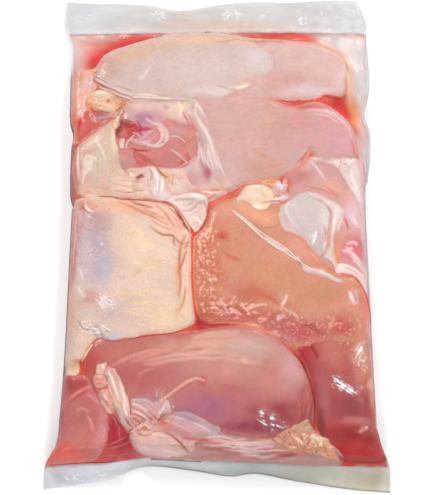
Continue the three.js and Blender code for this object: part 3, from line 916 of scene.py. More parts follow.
lump(
    "left_breast",
    [(-116, 12), (-108, 14), (-93, 15.5), (-80, 14), (-60, 12.2), (-50, 11.2), (-40, 9), (-34, 6), (-30, 1),
        (-26, -5), (-23, -10), (-21.5, -18), (-21, -28), (-20.5, -40), (-21, -50), (-20.5, -60),
        (-19.5, -70), (-18.5, -80), (-18, -86), (-20, -91), (-25, -94), (-32, -97), (-40, -98.5),
        (-50, -99), (-58, -100), (-62, -103), (-70, -103), (-78, -104.5), (-86, -103.5), (-91, -101.5),
        (-95, -105), (-99, -110), (-102, -117), (-108, -118.5), (-117, -119), (-120, -112), (-119.5, -90),
        (-118.5, -60), (-117.5, -20), (-117.5, 0)],
    35.6, 3, PIMPLED, (231, 202, 184), rim=(240, 196, 170), rim_reach=1.0, around=320,
    rings=78, seed=14, dome=1.8,
    stains=[(-95, -30, 13, 36, 3, (188, 167, 181), 0.95), (-96, -6, 12, 11, 0, (188, 150, 156), 0.85),
        (-88, -48, 7, 12, 0, (195, 186, 195), 0.9), (-104, -38, 7, 24, 0, (207, 190, 191), 0.85),
        (-86, -82, 26, 14, 0, (213, 187, 181), 0.85), (-70, 6, 30, 7, -3, (239, 182, 147), 0.85),
        (-44, 0, 12, 9, -40, (249, 210, 193), 0.8), (-25, -60, 4, 34, 1, (248, 205, 181), 0.85),
        (-110, -100, 9, 18, 0, (224, 195, 183), 0.9), (-99, -72, 9, 7, 0, (194, 144, 136), 0.7),
        (-45, -86, 22, 10, 0, (249, 214, 174), 0.7), (-60, -84, 14, 12, 0, (218, 189, 184), 0.6),
        (-115.5, -28, 3.4, 44, 0, (197, 117, 123), 0.95), (-115, -78, 3.5, 22, 0, (247, 178, 153), 0.8),
        (-80, -101, 13, 3, 0, (205, 198, 219), 0.85), (-62, -42, 5, 4, 20, (246, 224, 198), 0.7),
        (-105, 6, 7, 6, 0, (204, 99, 72), 0.8), (-36, -14, 8, 10, 0, (244, 182, 168), 0.7),
        (-110, -14, 3, 16, 0, (207, 160, 178), 0.7), (-52, -30, 22, 18, 0, (247, 217, 192), 0.6)],
    relief=[lumpy(22, 0.5, 8), folds(-22, 9, 0.35, 9), lumpy(4.5, 0.16, 10)],
    creases=[
        (0.9, 0.8, [(-93, 15), (-85, 15), (-78, 13), (-70, 12.5), (-62, 12), (-52, 11), (-44, 9), (-37, 7)],
            (150, 76, 56)),
        (0.7, 0.7, [(-70, 12), (-65, 8.5), (-60, 7), (-54, 5), (-51, 4)], (164, 92, 66)),
        (0.5, 0.8, [(-80, 10), (-70, 6), (-60, 1), (-52, -3), (-45, -7), (-38, -11)], (214, 132, 100)),
        (0.5, 0.8, [(-60, 3), (-52, -0.5), (-44, -4), (-37, -6)], (236, 160, 128)),
        (0.6, 0.7, [(-52, 10), (-47, 5), (-41, -1), (-37, -7), (-34, -12)], (214, 134, 106)),
        (0.4, 0.7, [(-56, 9), (-48, 6), (-42, 2), (-36, -3)], (242, 178, 150)),
        (0.6, 0.7, [(-54, -11), (-49, -15), (-43, -18.5), (-35, -19.5), (-34, -26), (-30, -28.5)],
            (180, 106, 82)),
        (0.6, 0.8, [(-41, 7), (-34, 1), (-29, -6), (-25.5, -14)], (206, 120, 96)),
        (0.5, 0.7, [(-36, -2), (-31, -9), (-28, -16)], (232, 168, 146)),
        (0.8, 0.8, [(-24.5, -18), (-28, -25), (-29.5, -34), (-30, -44), (-30.5, -52)], (180, 104, 78)),
        (0.9, 0.8, [(-24, -30), (-27, -40), (-29.5, -48), (-28.8, -58), (-30, -70)], (176, 98, 74)),
        (0.4, 0.7, [(-33, -20), (-31, -24), (-27, -26), (-24.5, -24)], (196, 116, 92)),
        (0.4, 0.7, [(-22.5, -22), (-24, -27), (-27, -30)], (206, 110, 86)),
        (0.3, 0.6, [(-56, -2), (-50, -8), (-43, -12), (-37, -14)], (222, 158, 128)),
        (0.3, 0.6, [(-62, 6), (-54, 1), (-48, -1)], (222, 156, 124)),
        (0.4, 1.0, [(-32, -40), (-31.5, -54), (-30.5, -68)], (244, 178, 128)),
        (0.4, 0.8, [(-24.5, -60), (-26, -72), (-30, -82)], (206, 140, 110)),
        (0.3, 0.8, [(-31, -74), (-32, -80), (-30, -86)], (240, 188, 152)),
        (0.5, 0.7, [(-105, 11), (-102.5, 5), (-98, 2)], (170, 112, 98)),
        (0.5, 0.7, [(-108, 7), (-105, 2), (-100, -1)], (150, 118, 122)),
        (0.4, 0.7, [(-102, 12), (-99, 7), (-95, 5)], (226, 150, 124)),
        (0, 0.8, [(-106, 8), (-103, 3.5), (-99, 1)], (246, 226, 216)),
        # Film wrinkles painted on the breast: grey strokes of painted shade beside white strokes of painted
        # highlight
        (0.6, 0.6, [(-107, -88), (-104, -93), (-100, -96), (-97, -94), (-92, -93), (-88, -92)],
            (140, 136, 140)),
        (0.6, 0.6, [(-91, -91), (-87, -95), (-82, -98)], (150, 146, 150)),
        (0.5, 0.6, [(-98, -94), (-94, -97), (-92, -101)], (156, 146, 146)),
        (0.5, 0.6, [(-90, -96), (-88, -100), (-86, -102)], (160, 150, 152)),
        (0, 0.7, [(-92, -91), (-87, -93.5), (-82, -96.5)], (250, 246, 246)),
        (0, 0.7, [(-98, -92.5), (-93, -95.5), (-89, -98)], (244, 238, 238)),
        (0.3, 0.8, [(-66, -54), (-62, -50), (-58, -47)], (226, 186, 146)),
        (0, 0.8, [(-109, -60), (-106, -65), (-102, -70)], (240, 226, 222)),
        (0, 0.8, [(-110, -44), (-106, -50), (-104, -56)], (232, 222, 222)),
        (0, 0.9, [(-117.5, 4), (-117.5, -20), (-118, -50)], (170, 88, 92)),
        (0, 0.8, [(-112.8, 8), (-113, -16), (-113.6, -44)], (232, 186, 180)),
        (0, 0.7, [(-96, -68), (-89, -70), (-82, -69)], (226, 190, 160)),
        (0, 0.8, [(-104, -75), (-98, -76), (-92, -75)], (222, 188, 164)),
        *bundle([(-62, -36), (-50, -38), (-38, -40)], [(-64, -46), (-50, -48), (-36, -50)], 5, 0.1, 0.7,
            310, (240, 206, 160)),
        *bundle([(-80, -16), (-66, -12), (-48, -18)], [(-78, -30), (-62, -28), (-44, -34)], 6, 0.12, 0.8,
            320, (242, 212, 178)),
        *bundle([(-78, -60), (-60, -62), (-36, -64)], [(-76, -80), (-58, -84), (-34, -86)], 7, 0.12, 0.8,
            330, (240, 208, 174)),
        *bundle([(-92, -66), (-86, -72), (-78, -80)], [(-96, -70), (-90, -78), (-82, -86)], 4, 0.1, 0.6,
            350, (250, 240, 238)),
    ],
    marks=[(-50, 0, 26, 8, -12, 0.25), (-30, -50, 6, 40, 0, 0.15)],
)
lump(
    "middle_breast",
    [(-18, -22), (-16, -17), (-12, -13), (-9, -8), (-7, -2), (-5, 4), (0, 9), (6, 12), (12, 13.5), (17, 17),
        (22, 23), (30, 26), (38, 27), (46, 23), (52, 12), (54, 2), (58, -12), (66, -21), (72, -30),
        (78, -38), (86, -45), (92, -50), (100, -51.5), (107, -53), (112, -58), (116, -64), (119.5, -72),
        (120, -84), (120, -100), (108, -106), (92, -107), (80, -108), (67, -110), (57, -109), (50, -104.5),
        (44, -100.5), (36, -96), (26, -92.5), (14, -89.5), (0, -88.5), (-8, -88), (-12, -86), (-15, -80),
        (-17, -70), (-18, -60), (-18.5, -50), (-19, -40), (-18.5, -30)],
    35.2, 3.5, COARSE, (213, 151, 125), around=260, rings=66, rim=(228, 130, 104), seed=15,
    centre=(38, -45),
    stains=[(-8, -45, 12, 38, 0, (211, 118, 80), 0.85), (10, -82, 32, 9, -3, (188, 79, 59), 0.85),
        (62, -98, 30, 9, 0, (194, 89, 96), 0.9), (5, -19, 5, 4.5, -30, (212, 63, 46), 0.9),
        (48, -56, 24, 12, 0, (209, 148, 114), 0.8), (78, -68, 18, 12, 0, (206, 143, 113), 0.8),
        (34, -4, 16, 5, -25, (242, 170, 126), 0.85), (96, -92, 12, 9, 0, (189, 61, 52), 0.85),
        (24, -66, 16, 8, -15, (196, 90, 65), 0.6), (64, -26, 11, 12, -35, (225, 165, 149), 0.85),
        (24, 8, 9, 7, 0, (243, 182, 150), 0.8), (6, 4, 8, 7, 0, (221, 164, 138), 0.8),
        (36, -44, 22, 10, -20, (210, 149, 110), 0.6), (46, -88, 16, 6, 0, (181, 91, 84), 0.7),
        (12, -30, 8, 14, 0, (210, 142, 101), 0.5), (48, -72, 12, 4, -20, (193, 114, 77), 0.6),
        (116, -78, 3, 18, 0, (247, 121, 111), 0.85), (108, -70, 3.5, 8, 10, (228, 105, 98), 0.8),
        (118, -98, 2.5, 14, 0, (222, 183, 175), 0.8), (20, -88, 26, 3, -2, (207, 111, 110), 0.6)],
    relief=[lumpy(26, 0.7, 12), lumpy(5, 0.25, 13)],
    creases=[
        (0.6, 0.9, [(5, -34), (11, -37.5), (18, -40)], (206, 112, 90)),
        (0.5, 1.1, [(30, -67), (38, -69.5), (44, -73), (49, -79)], (214, 94, 72)),
        (0.3, 0.8, [(20, -79), (28, -77), (34, -75.5), (39, -76)], (240, 196, 184)),
        (0, 0.8, [(54, -67), (52, -72), (49, -77)], (250, 224, 214)),
        (0, 0.7, [(48, -83), (46, -88), (52, -84)], (246, 208, 200)),
        (0.3, 0.8, [(55, -81), (60, -84), (62, -88)], (240, 190, 180)),
        (1.0, 1.2, [(62, -93), (66, -94), (72, -93), (76, -98), (80, -101)], (150, 44, 46)),
        (0.6, 1.0, [(84, -96), (88, -90), (89, -84)], (232, 160, 142)),
        (0, 1.2, [(102, -64), (103.5, -70), (106, -76)], (240, 224, 224)),
        (0, 1.0, [(106, -62), (108, -70), (109, -77)], (206, 176, 178)),
        (0, 0.9, [(72, -28), (76, -36), (82, -42)], (246, 206, 194)),
        (0, 1.2, [(20, -90.5), (28, -92), (34, -94)], (250, 206, 176)),
        (0, 1.0, [(38, -97), (44, -98), (48, -102)], (246, 196, 170)),
        (0, 0.7, [(-14, -15), (-10, -19), (-8, -15)], (250, 214, 196)),
        *squiggles(-9, -48, 8, 34, 90, 360, (246, 196, 178)),
        *squiggles(12, -78, 20, 8, 60, 361, (248, 200, 184)),
        *squiggles(-8, -20, 8, 12, 16, 362, (246, 200, 176)),
        *squiggles(44, -86, 16, 8, 22, 363, (240, 180, 168)),
        *squiggles(96, -92, 14, 8, 18, 364, (240, 170, 150)),
        *squiggles(-6, -50, 9, 34, 24, 365, (206, 104, 84)),
    ],
    marks=[(-6, -45, 16, 44, 0, 0.15), (60, -98, 34, 12, 0, 0.3)],
)
lump(
    "right_piece",
    [(54, 31.5), (61.5, 38.2), (69, 44), (74.5, 50), (80, 50.5), (88, 50), (96, 49), (108, 50), (119, 44),
        (120, 20), (119, 0), (119, -20), (118.5, -40), (117.5, -58), (109, -53), (98, -49), (90, -46),
        (82, -41), (76, -35), (70, -26), (63, -17.5), (56, -12), (53.5, 0), (53, 12), (53, 22)],
    33.8, 3.5, MEMBRANE, (216, 160, 154), rim=(230, 150, 130), around=200, seed=16,
    stains=[(66, 33, 12, 8, 20, (188, 127, 122), 0.95), (84, 32, 9, 9, 0, (201, 162, 161), 0.85),
        (108, 0, 11, 14, 0, (234, 196, 200), 0.9), (108, -29, 12, 12, 0, (219, 115, 120), 0.95),
        (95, -30, 3, 14, 0, (232, 148, 110), 0.9), (92, 22, 12, 5, -25, (225, 168, 147), 0.8),
        (118, 10, 3, 50, 0, (255, 214, 223), 0.8), (106, 16, 6, 6, 0, (228, 177, 170), 0.7),
        (56, 26, 3, 7, 15, (204, 99, 71), 0.9), (116, -50, 4, 8, 0, (255, 225, 214), 0.8),
        (74, 44, 4, 5, 0, (214, 187, 186), 0.7)],
    relief=[lumpy(14, 0.5, 14)],
    creases=[
        (0.5, 0.8, [(100, -2), (102.5, -8), (103, -14)], (216, 96, 96)),
        (0.5, 0.7, [(57, 26), (55.5, 22), (58, 19)], (170, 70, 56)),
        (0, 0.5, [(68, 24.4), (74, 23), (80, 21.6), (86, 19.6), (92, 16)], (188, 128, 112)),
        (0, 0.8, [(86, 24), (92, 19), (97, 14)], (214, 130, 104)),
        (0, 0.8, [(74, 48), (79, 42), (84, 34), (88, 28)], (236, 208, 204)),
        (0, 1.0, [(98, -31.5), (104, -33), (109, -37), (113, -42)], (248, 216, 214)),
        (0, 0.9, [(101, -26), (107, -24.5), (111, -26)], (246, 200, 200)),
        (0, 0.9, [(104, -35), (110, -42), (115, -47)], (246, 206, 204)),
        (0, 0.9, [(100, -28), (103, -30), (107, -29)], (248, 206, 206)),
        (0, 1.2, [(106, 2), (109, -6), (112, -12)], (240, 212, 216)),
    ],
)
lump(
    "bottom_breast",
    [(-99, -112), (-94, -103), (-86, -100), (-78, -101), (-70, -100), (-62, -100), (-50, -99), (-36, -98.2),
        (-20, -97), (-8, -95), (0, -94), (10, -92.6), (20, -92.6), (30, -95), (38, -98), (45, -102),
        (52, -108), (58, -115), (63, -122), (67, -130), (70, -140), (71.5, -150), (71, -160), (68, -167),
        (58, -172.5), (45, -177), (30, -178), (15, -176.5), (0, -172.5), (-14, -167), (-30, -161),
        (-45, -162), (-60, -165), (-75, -158), (-86, -150), (-94, -140), (-99, -126)],
    36.2, 4, BREAST_DOWN, (191, 115, 108), rings=50, rim=(196, 92, 84), rim_reach=1.4, seed=17, dome=2.2,
    stains=[(22, -110, 30, 12, -4, (210, 174, 163), 0.9), (-18, -106, 32, 6, 6, (207, 154, 136), 0.85),
        (0, -127, 44, 11, 0, (210, 154, 142), 0.7), (56, -126, 11, 18, 0, (208, 163, 162), 0.9),
        (-10, -155, 26, 11, -10, (170, 107, 130), 0.95), (-36, -144, 20, 11, 0, (197, 122, 123), 0.85),
        (44, -160, 22, 12, 0, (149, 58, 69), 0.85), (-74, -112, 22, 8, 8, (196, 117, 105), 0.9),
        (-56, -130, 28, 10, 0, (182, 96, 97), 0.8), (-92, -122, 7, 12, 0, (194, 76, 74), 0.9),
        (26, -171, 30, 5, 0, (141, 60, 82), 0.85), (36, -140, 18, 10, 0, (201, 139, 133), 0.6),
        # Its dark stripe down the right edge is painted shade in the groove by the right corner
        (66, -155, 5, 16, 0, (145, 48, 57), 0.8), (12, -96, 24, 3, 0, (201, 146, 132), 0.7),
        (-12, -135, 4, 4, 0, (206, 89, 93), 0.8), (20, -150, 14, 8, 0, (189, 110, 118), 0.6)],
    relief=[lumpy(50, 0.7, 15)],
    creases=[
        (0, 0.8, [(-82, -126), (-72, -120), (-62, -115.5), (-52, -112.5), (-42, -111)], (226, 160, 146)),
        (0, 2.0, [(-66, -121), (-44, -113), (-22, -108)], (216, 148, 134)),
        (0, 0.8, [(-60, -132), (-52, -127), (-46, -127)], (214, 136, 128)),
        (0, 0.8, [(16, -119), (22, -121), (19, -117)], (236, 196, 176)),
        (0, 0.7, [(60, -116), (63, -121), (66, -126)], (246, 206, 184)),
        *bundle([(58, -138), (60, -152), (60, -166)], [(66, -136), (69, -152), (67, -164)], 7, 0, 0.7, 430,
            (196, 108, 104)),
        *bundle([(-40, -104), (0, -98), (30, -100)], [(-60, -124), (-10, -118), (40, -124)], 8, 0, 1.4, 431,
            (222, 172, 154)),
    ],
)
lump(
    "right_corner",
    [(58, -106), (66, -103), (78, -101), (90, -100), (104, -99), (119, -98), (119.5, -112), (120, -130),
        (120.5, -150), (121, -163), (122, -176), (126, -190), (118, -193), (100, -192.5), (88, -191),
        (80, -182), (74.5, -170), (73.5, -150), (72, -138), (68.5, -126), (64, -116)],
    34.6, 4, DARK, (178, 84, 84), rim=(150, 48, 50), around=210, rings=42, seed=18,
    stains=[(103, -189, 9, 6, 0, (226, 60, 52), 0.85), (88, -115, 12, 12, 0, (204, 126, 112), 0.9),
        (109, -114, 8, 22, 0, (217, 155, 130), 0.9), (96, -154, 16, 10, 0, (150, 78, 76), 0.9),
        (116.5, -138, 3.5, 22, 0, (224, 155, 126), 0.9), (118, -160, 3, 12, 0, (229, 63, 13), 0.9),
        (98, -176, 24, 7, 0, (151, 26, 25), 0.95), (79, -146, 6, 20, 0, (180, 107, 109), 0.8),
        (68, -112, 7, 9, 0, (188, 55, 68), 0.9), (100, -188, 26, 7, 0, (188, 34, 29), 0.95),
        # The dark stripe at (76, -166) is painted shade in the groove by the bottom breast
        (76, -166, 4, 12, 0, (115, 57, 56), 0.8), (92, -134, 14, 5, -15, (178, 92, 87), 0.7),
        (118, -122, 2.5, 26, 0, (250, 205, 191), 0.8)],
    relief=[lumpy(18, 0.6, 16), dents((100, -196, 40, 14, 0, 6), (122, -182, 10, 16, 0, 5))],
    creases=[
        (0.6, 1.2, [(66, -106), (72, -110), (76, -118)], (150, 40, 46)),
        (0, 1.0, [(60, -104), (64, -107), (62, -112)], (214, 100, 100)),
        (0, 0.9, [(92, -163), (104, -164), (114, -164)], (196, 120, 118)),
        (0, 0.7, [(90, -166), (104, -166.5), (116, -166)], (206, 124, 118)),
        (0, 0.9, [(104, -174), (109, -171), (112, -169)], (232, 130, 120)),
        *squiggles(100, -104, 12, 5, 14, 440, (244, 190, 164)),
        *squiggles(110, -116, 5, 14, 14, 441, (246, 200, 176)),
    ],
)
lump(
    "left_corner",
    [(-85, -150), (-90, -142), (-96, -134), (-103, -131), (-112, -130), (-119, -130), (-120, -140),
        (-120.5, -158), (-122, -172), (-126, -186), (-129, -194), (-118, -195), (-104, -194), (-90, -190),
        (-83, -180), (-82, -166), (-83, -156)],
    33.6, 4.5, DARK, (205, 115, 114), rim=(216, 146, 140), around=200, rings=40, seed=19,
    stains=[(-87, -170, 3.4, 18, 0, (207, 144, 142), 0.9), (-112, -190, 16, 9, 0, (236, 108, 97), 0.95),
        (-102, -162, 11, 14, 0, (183, 116, 108), 0.8), (-108, -138, 11, 8, 0, (170, 66, 65), 0.9),
        (-118.5, -150, 3, 30, 0, (171, 51, 45), 0.8), (-100, -180, 12, 8, 0, (203, 129, 116), 0.7),
        (-118, -134, 3, 6, 0, (32, 8, 8), 0.8)],
    relief=[lumpy(16, 0.5, 17), dents((-118, -198, 22, 14, 0, 5))],
    creases=[
        (0, 1.1, [(-112, -150), (-104, -144), (-97, -140), (-93, -137)], (230, 148, 136)),
        (0.4, 0.7, [(-111, -151.5), (-103, -145.5), (-96, -141)], (176, 64, 66)),
        (0, 1.0, [(-98, -144), (-92, -149), (-87, -153)], (214, 150, 150)),
        (0, 0.8, [(-98, -160), (-94, -166), (-92, -174)], (222, 156, 148)),
        (0, 0.8, [(-106, -158), (-100, -156), (-95, -160)], (220, 150, 138)),
    ],
)
lump(
    "left_strip",
    [(-121, 76), (-115, 64), (-106, 72), (-99, 80), (-103, 88), (-106, 96), (-106, 106), (-102, 114),
        (-99, 124), (-104, 130), (-112, 131), (-122, 128), (-124, 110), (-122.5, 92)],
    31.8, 3.5, SKIN, (233, 166, 144), rim=(236, 168, 142), seed=20, around=150, rings=36,
    stains=[(-112, 76, 8, 10, 30, (237, 84, 60), 0.95), (-110, 86, 5, 6, 0, (244, 112, 70), 0.9),
        (-108, 98, 3, 8, 0, (220, 110, 57), 0.9), (-120.5, 84, 3, 22, 0, (229, 64, 39), 0.9),
        (-120, 108, 2.4, 14, 0, (249, 161, 132), 0.85), (-114, 104, 4, 14, 0, (209, 217, 219), 0.9),
        (-108, 118, 8, 9, 0, (211, 197, 200), 0.8), (-114, 124, 3, 9, -10, (212, 150, 116), 0.7)],
    relief=[lumpy(9, 0.6, 18)],
    creases=[
        *bundle([(-118, 128), (-116, 112), (-116, 96), (-117, 80)],
            [(-107, 126), (-108, 112), (-110, 98), (-112, 86)], 6, 0.4, 0.7, 460, (240, 172, 150)),
        *bundle([(-108, 124), (-102, 118), (-96, 113)], [(-106, 128), (-99, 124), (-94, 118)], 4, 0.5, 0.6,
            461, (210, 128, 110)),
    ],
)
lump(
    "corner_fat",
    [(-109, 99), (-108, 106), (-104, 109.5), (-98, 111.5), (-90, 109.5), (-83, 106), (-76, 103),
        (-73, 100.5), (-78, 96), (-82, 91), (-88, 89), (-94, 90), (-99, 93), (-104, 96)],
    33.8, 3, FAT, (227, 191, 170), rim=(240, 176, 124), rim_reach=0.8, seed=21, around=150,
    rings=36,
    stains=[(-105, 97, 4.5, 6, -20, (248, 168, 114), 0.9), (-77, 100, 5, 3.5, 0, (228, 119, 98), 0.9),
        (-98, 107, 9, 4, 0, (222, 200, 178), 0.8), (-85, 101, 5, 5, 0, (204, 155, 124), 0.7),
        (-96, 94, 5, 3, 0, (255, 201, 160), 0.8), (-84, 94, 4, 4, 0, (255, 197, 154), 0.7)],
    relief=[lumpy(6, 0.7, 19), lumpy(3, 0.35, 20)],
    creases=[
        (0.3, 0.5, [(-108, 104), (-103, 105.5), (-97, 104), (-92, 106)], (216, 168, 130)),
        (0.3, 0.5, [(-101, 97), (-96, 96), (-91, 94)], (232, 170, 110)),
        (0, 1.2, [(-103, 108), (-97, 109.8), (-91, 108)], (240, 226, 214)),
        (0.4, 0.6, [(-86, 100), (-83, 97), (-85, 93.5)], (224, 150, 96)),
        (0.8, 1.4, [(-92, 99.5), (-90, 101), (-88.5, 102)], (206, 100, 44)),
        (0.6, 0.7, [(-86, 105), (-80, 103.5), (-75, 101)], (160, 80, 50)),
        (0.7, 0.7, [(-84, 91), (-80, 95), (-76, 98.5)], (176, 90, 60)),
        (0.5, 0.7, [(-80, 103), (-79, 99), (-82, 95)], (214, 130, 80)),
        (0.4, 0.7, [(-104, 101), (-98, 99), (-95, 100)], (244, 200, 150)),
        (0.6, 0.7, [(-100, 93), (-94, 91), (-88, 89.5)], (170, 84, 60)),
    ],
)
lump(
    "bottom_skin",
    [(-63, -173), (-50, -168), (-38, -163), (-30, -161), (-18, -163), (-8, -167), (2, -171), (15, -174),
        (30, -175.5), (45, -174.5), (56, -172), (66, -169), (73, -173), (82, -180), (89, -187),
        (93, -192.5), (85, -194), (60, -193.5), (30, -192.5), (0, -191.5), (-30, -190), (-50, -189),
        (-59, -186), (-64, -179)],
    33.0, 3, PALE, (191, 157, 155), rim=(200, 130, 124),
    centre=[(-54, -181), (-30, -176), (0, -181), (40, -183.5), (82, -189)],
    seed=22, around=280, rings=30,
    stains=[(-46, -180, 17, 9, -10, (234, 200, 186), 0.9), (-8, -174, 30, 4, -14, (153, 153, 162), 0.85),
        (0, -182, 34, 3, -2, (139, 59, 56), 0.8), (60, -181, 24, 6, -10, (175, 116, 89), 0.9),
        (30, -187, 50, 3, -2, (189, 100, 86), 0.8), (30, -191, 60, 1.6, 0, (179, 125, 109), 0.85),
        (56, -189, 8, 3, 0, (218, 126, 121), 0.8)],
    relief=[folds(-2, 5, 0.5, 23), lumpy(8, 0.3, 24)],
    creases=[
        (0.6, 0.9, [(-26, -178), (-8, -180), (10, -181.5), (24, -181)], (216, 104, 98)),
        (0.5, 0.8, [(-14, -184), (14, -187), (46, -186.5)], (184, 100, 96)),
        (0.6, 0.8, [(46, -186), (54, -187), (64, -184)], (160, 76, 74)),
        (0.6, 0.8, [(40, -190), (50, -190), (60, -189)], (150, 70, 70)),
        *bundle([(-20, -176), (10, -179), (44, -178)], [(-12, -189), (20, -191), (60, -191)], 12, 0.4, 0.7,
            470, (190, 120, 114)),
        *bundle([(-16, -175), (14, -178), (44, -177)], [(-8, -188), (24, -190), (66, -190)], 8, 0, 0.7, 471,
            (226, 196, 190)),
    ],
)

# The juice, up to the film that spans the gaps between them

JUICE_STAINS = [
    (0, 176, 150, 7, 0, (238, 210, 194), 1.0), (-117, 158, 12, 24, 0, (230, 182, 170), 1.0),
    (-122, 168, 10, 12, 0, (232, 205, 195), 1.0), (-96, 172, 26, 8, 8, (224, 150, 132), 1.0),
    (-68, 172, 26, 7, 6, (216, 78, 74), 1.0), (-84, 164, 24, 10, 22, (220, 72, 70), 1.0),
    (-104, 150, 9, 14, 28, (222, 72, 73), 1.0), (-119, 138, 4, 10, 20, (236, 186, 174), 0.9),
    (44, 176, 38, 7, 1, (216, 84, 72), 1.0), (97, 161, 20, 5, -28, (247, 160, 118), 1.0),
    (75, 175, 12, 10, -8, (232, 82, 64), 1.0), (112, 168, 20, 12, -15, (243, 226, 220), 1.0),
    (110, 150, 6, 14, 15, (247, 188, 152), 0.9), (120, 148, 8, 34, 0, (244, 229, 223), 1.0),
    (112, 126, 5, 22, 0, (255, 210, 182), 1.0), (122, 124, 6, 26, 0, (243, 224, 216), 1.0),
    (114, 98, 7, 15, 0, (255, 168, 122), 1.0), (104, 98, 8, 9, 40, (238, 74, 70), 1.0),
    (88, 103, 9, 4, 0, (232, 92, 82), 1.0), (58, 99, 16, 2.5, -8, (218, 84, 84), 1.0),
    (121, 92, 4, 14, 0, (250, 196, 168), 0.9), (122, 60, 8, 26, 0, (244, 208, 200), 0.95),
    (122, 30, 5, 30, 0, (246, 226, 222), 0.95), (120, -20, 4, 50, 0, (240, 214, 212), 0.9),
    (118, -78, 4, 16, 0, (218, 120, 112), 0.95), (120, -112, 3, 26, 0, (236, 220, 216), 0.9),
    (121, -156, 3, 16, 0, (236, 150, 130), 0.8), (110, -190, 28, 8, 0, (216, 56, 52), 1.0),
    (-119, 36, 4, 30, 0, (178, 72, 76), 1.0), (-118, 0, 4, 12, 0, (236, 160, 140), 0.8),
    (-118, -45, 3, 46, 0, (190, 116, 116), 0.9), (-119, -105, 5, 22, 0, (226, 208, 198), 1.0),
    (-119, -138, 3, 14, 0, (140, 62, 72), 0.9), (-121, -165, 3, 16, 0, (196, 96, 94), 0.8),
    (-118, -190, 18, 6, 0, (236, 106, 100), 0.95), (-72, -174, 10, 16, 30, (196, 72, 86), 1.0),
    (-76, -166, 5, 7, 0, (176, 58, 70), 0.9), (-70, -188, 20, 5, 10, (206, 88, 96), 0.95),
    (-20, -18, 4, 12, -30, (212, 66, 48), 1.0), (-19, -50, 3, 30, 0, (222, 96, 76), 1.0),
    (2, 14, 14, 4, 25, (234, 110, 86), 1.0), (24, 26, 20, 3, 10, (230, 110, 92), 0.9),
    (-14, -88, 8, 7, 0, (180, 46, 48), 1.0), (0, -92.5, 16, 2, 2, (184, 54, 52), 1.0),
    # The stripe at (72, -150) is painted shade in the groove between the bottom breast and the right corner
    (-50, -101, 30, 2.5, 3, (208, 84, 72), 0.9), (72, -150, 3, 24, 0, (134, 50, 52), 0.9),
    (66, -118, 6, 10, -30, (172, 50, 56), 0.9), (-96, -118, 5, 14, 0, (200, 70, 68), 0.9),
    (-30, -192, 24, 4, 1, (206, 176, 168), 1.0),
]
THIN_STAINS = [
    # The stripe at (72, -145) is painted shade in that same groove
    (55, -112, 16, 16, -50, (190, 84, 78), 0.9), (72, -145, 5, 30, 0, (140, 52, 52), 1.0),
    (-60, -150, 50, 44, 0, (200, 90, 84), 0.9), (90, -150, 34, 46, 0, (180, 76, 74), 0.9),
    (10, -185, 120, 12, 0, (206, 130, 122), 0.9), (-90, 160, 60, 16, 10, (234, 130, 112), 0.9),
    (-50, 105, 70, 8, 0, (238, 206, 192), 0.9), (60, 102, 30, 5, 0, (230, 130, 120), 0.8),
    (20, 165, 90, 6, 0, (238, 176, 152), 0.8), (-110, 110, 12, 30, 0, (236, 180, 160), 0.8),
    (-125, 0, 5, 190, 0, (220, 174, 166), 0.9), (125, 0, 5, 190, 0, (232, 200, 192), 0.9),
]


def stretch(obstacle, rim):
    """Film pinned at its rim, drawn tight over an obstacle and pressed in between."""
    film = np.where(inside, np.maximum(obstacle, rim), rim)
    for _ in range(FILM_SWEEPS):
        mean = (film[1:-1, 2:] + film[1:-1, :-2] + film[2:, 1:-1] + film[:-2, 1:-1]) / 4 - FILM_SAG
        held = np.maximum(mean, obstacle[1:-1, 1:-1])
        film[1:-1, 1:-1] = np.where(inside[1:-1, 1:-1], held, film[1:-1, 1:-1])
    return film


def widened(area, cells):
    """A yes-or-no map with its yes parts grown by some cells."""
    for _ in range(cells):
        grown = area.copy()
        grown[1:] |= area[:-1]
        grown[:-1] |= area[1:]
        grown[:, 1:] |= area[:, :-1]
        grown[:, :-1] |= area[:, 1:]
        area = grown
    return area


def juice_tint(x, y, gap, beneath):
    """The juice's colour: what lies beneath it where it is thin, and its own red where it is deep."""
    deep = paint(x, y, DEEP_JUICE, JUICE_STAINS, 60)
    thin = paint(x, y, THIN_JUICE, THIN_STAINS, 61)
    juice = mixed(thin, deep, 1 - np.exp(-gap / DEEP_REACH))
    return mixed(beneath, juice, 1 - np.exp(-gap / THIN_REACH))


def juice_sheet(name, film, pieces, side, beneath):
    """The juice under one side of the film, running in under the edges of the pieces."""
    gap = side * (film - pieces) - slack
    filled = (gap > 0) | empty
    keep = (widened(inside, 1) if side > 0 else inside) & widened(filled, 2)
    level = film - side * np.where(filled, slack, slack + TUCK)
    tint = juice_tint(XX, YY, np.maximum(gap, np.where(empty, 3, 0)), beneath)
    margin = TOP_MARGIN if side > 0 else UNDER_MARGIN
    x = np.clip(XX, left_edge(YY) + margin, right_edge(YY) - margin)
    y = np.clip(YY, bottom_seam_line(XX) + END_MARGIN, top_seam_line(XX) - END_MARGIN)
    points = as_points(x, y, level)
    faces = np.asarray(grid_faces(*XX.shape, keep=keep, flip=side < 0))
    used, faces = np.unique(faces, return_inverse=True)
    faces = faces.reshape(-1, 4).tolist()
    piece = mesh_object(name, points[used], faces, JUICE, tint=tint.reshape(-1, 3)[used])
    return np.where((inside & (gap > 0))[..., None], tint, beneath)


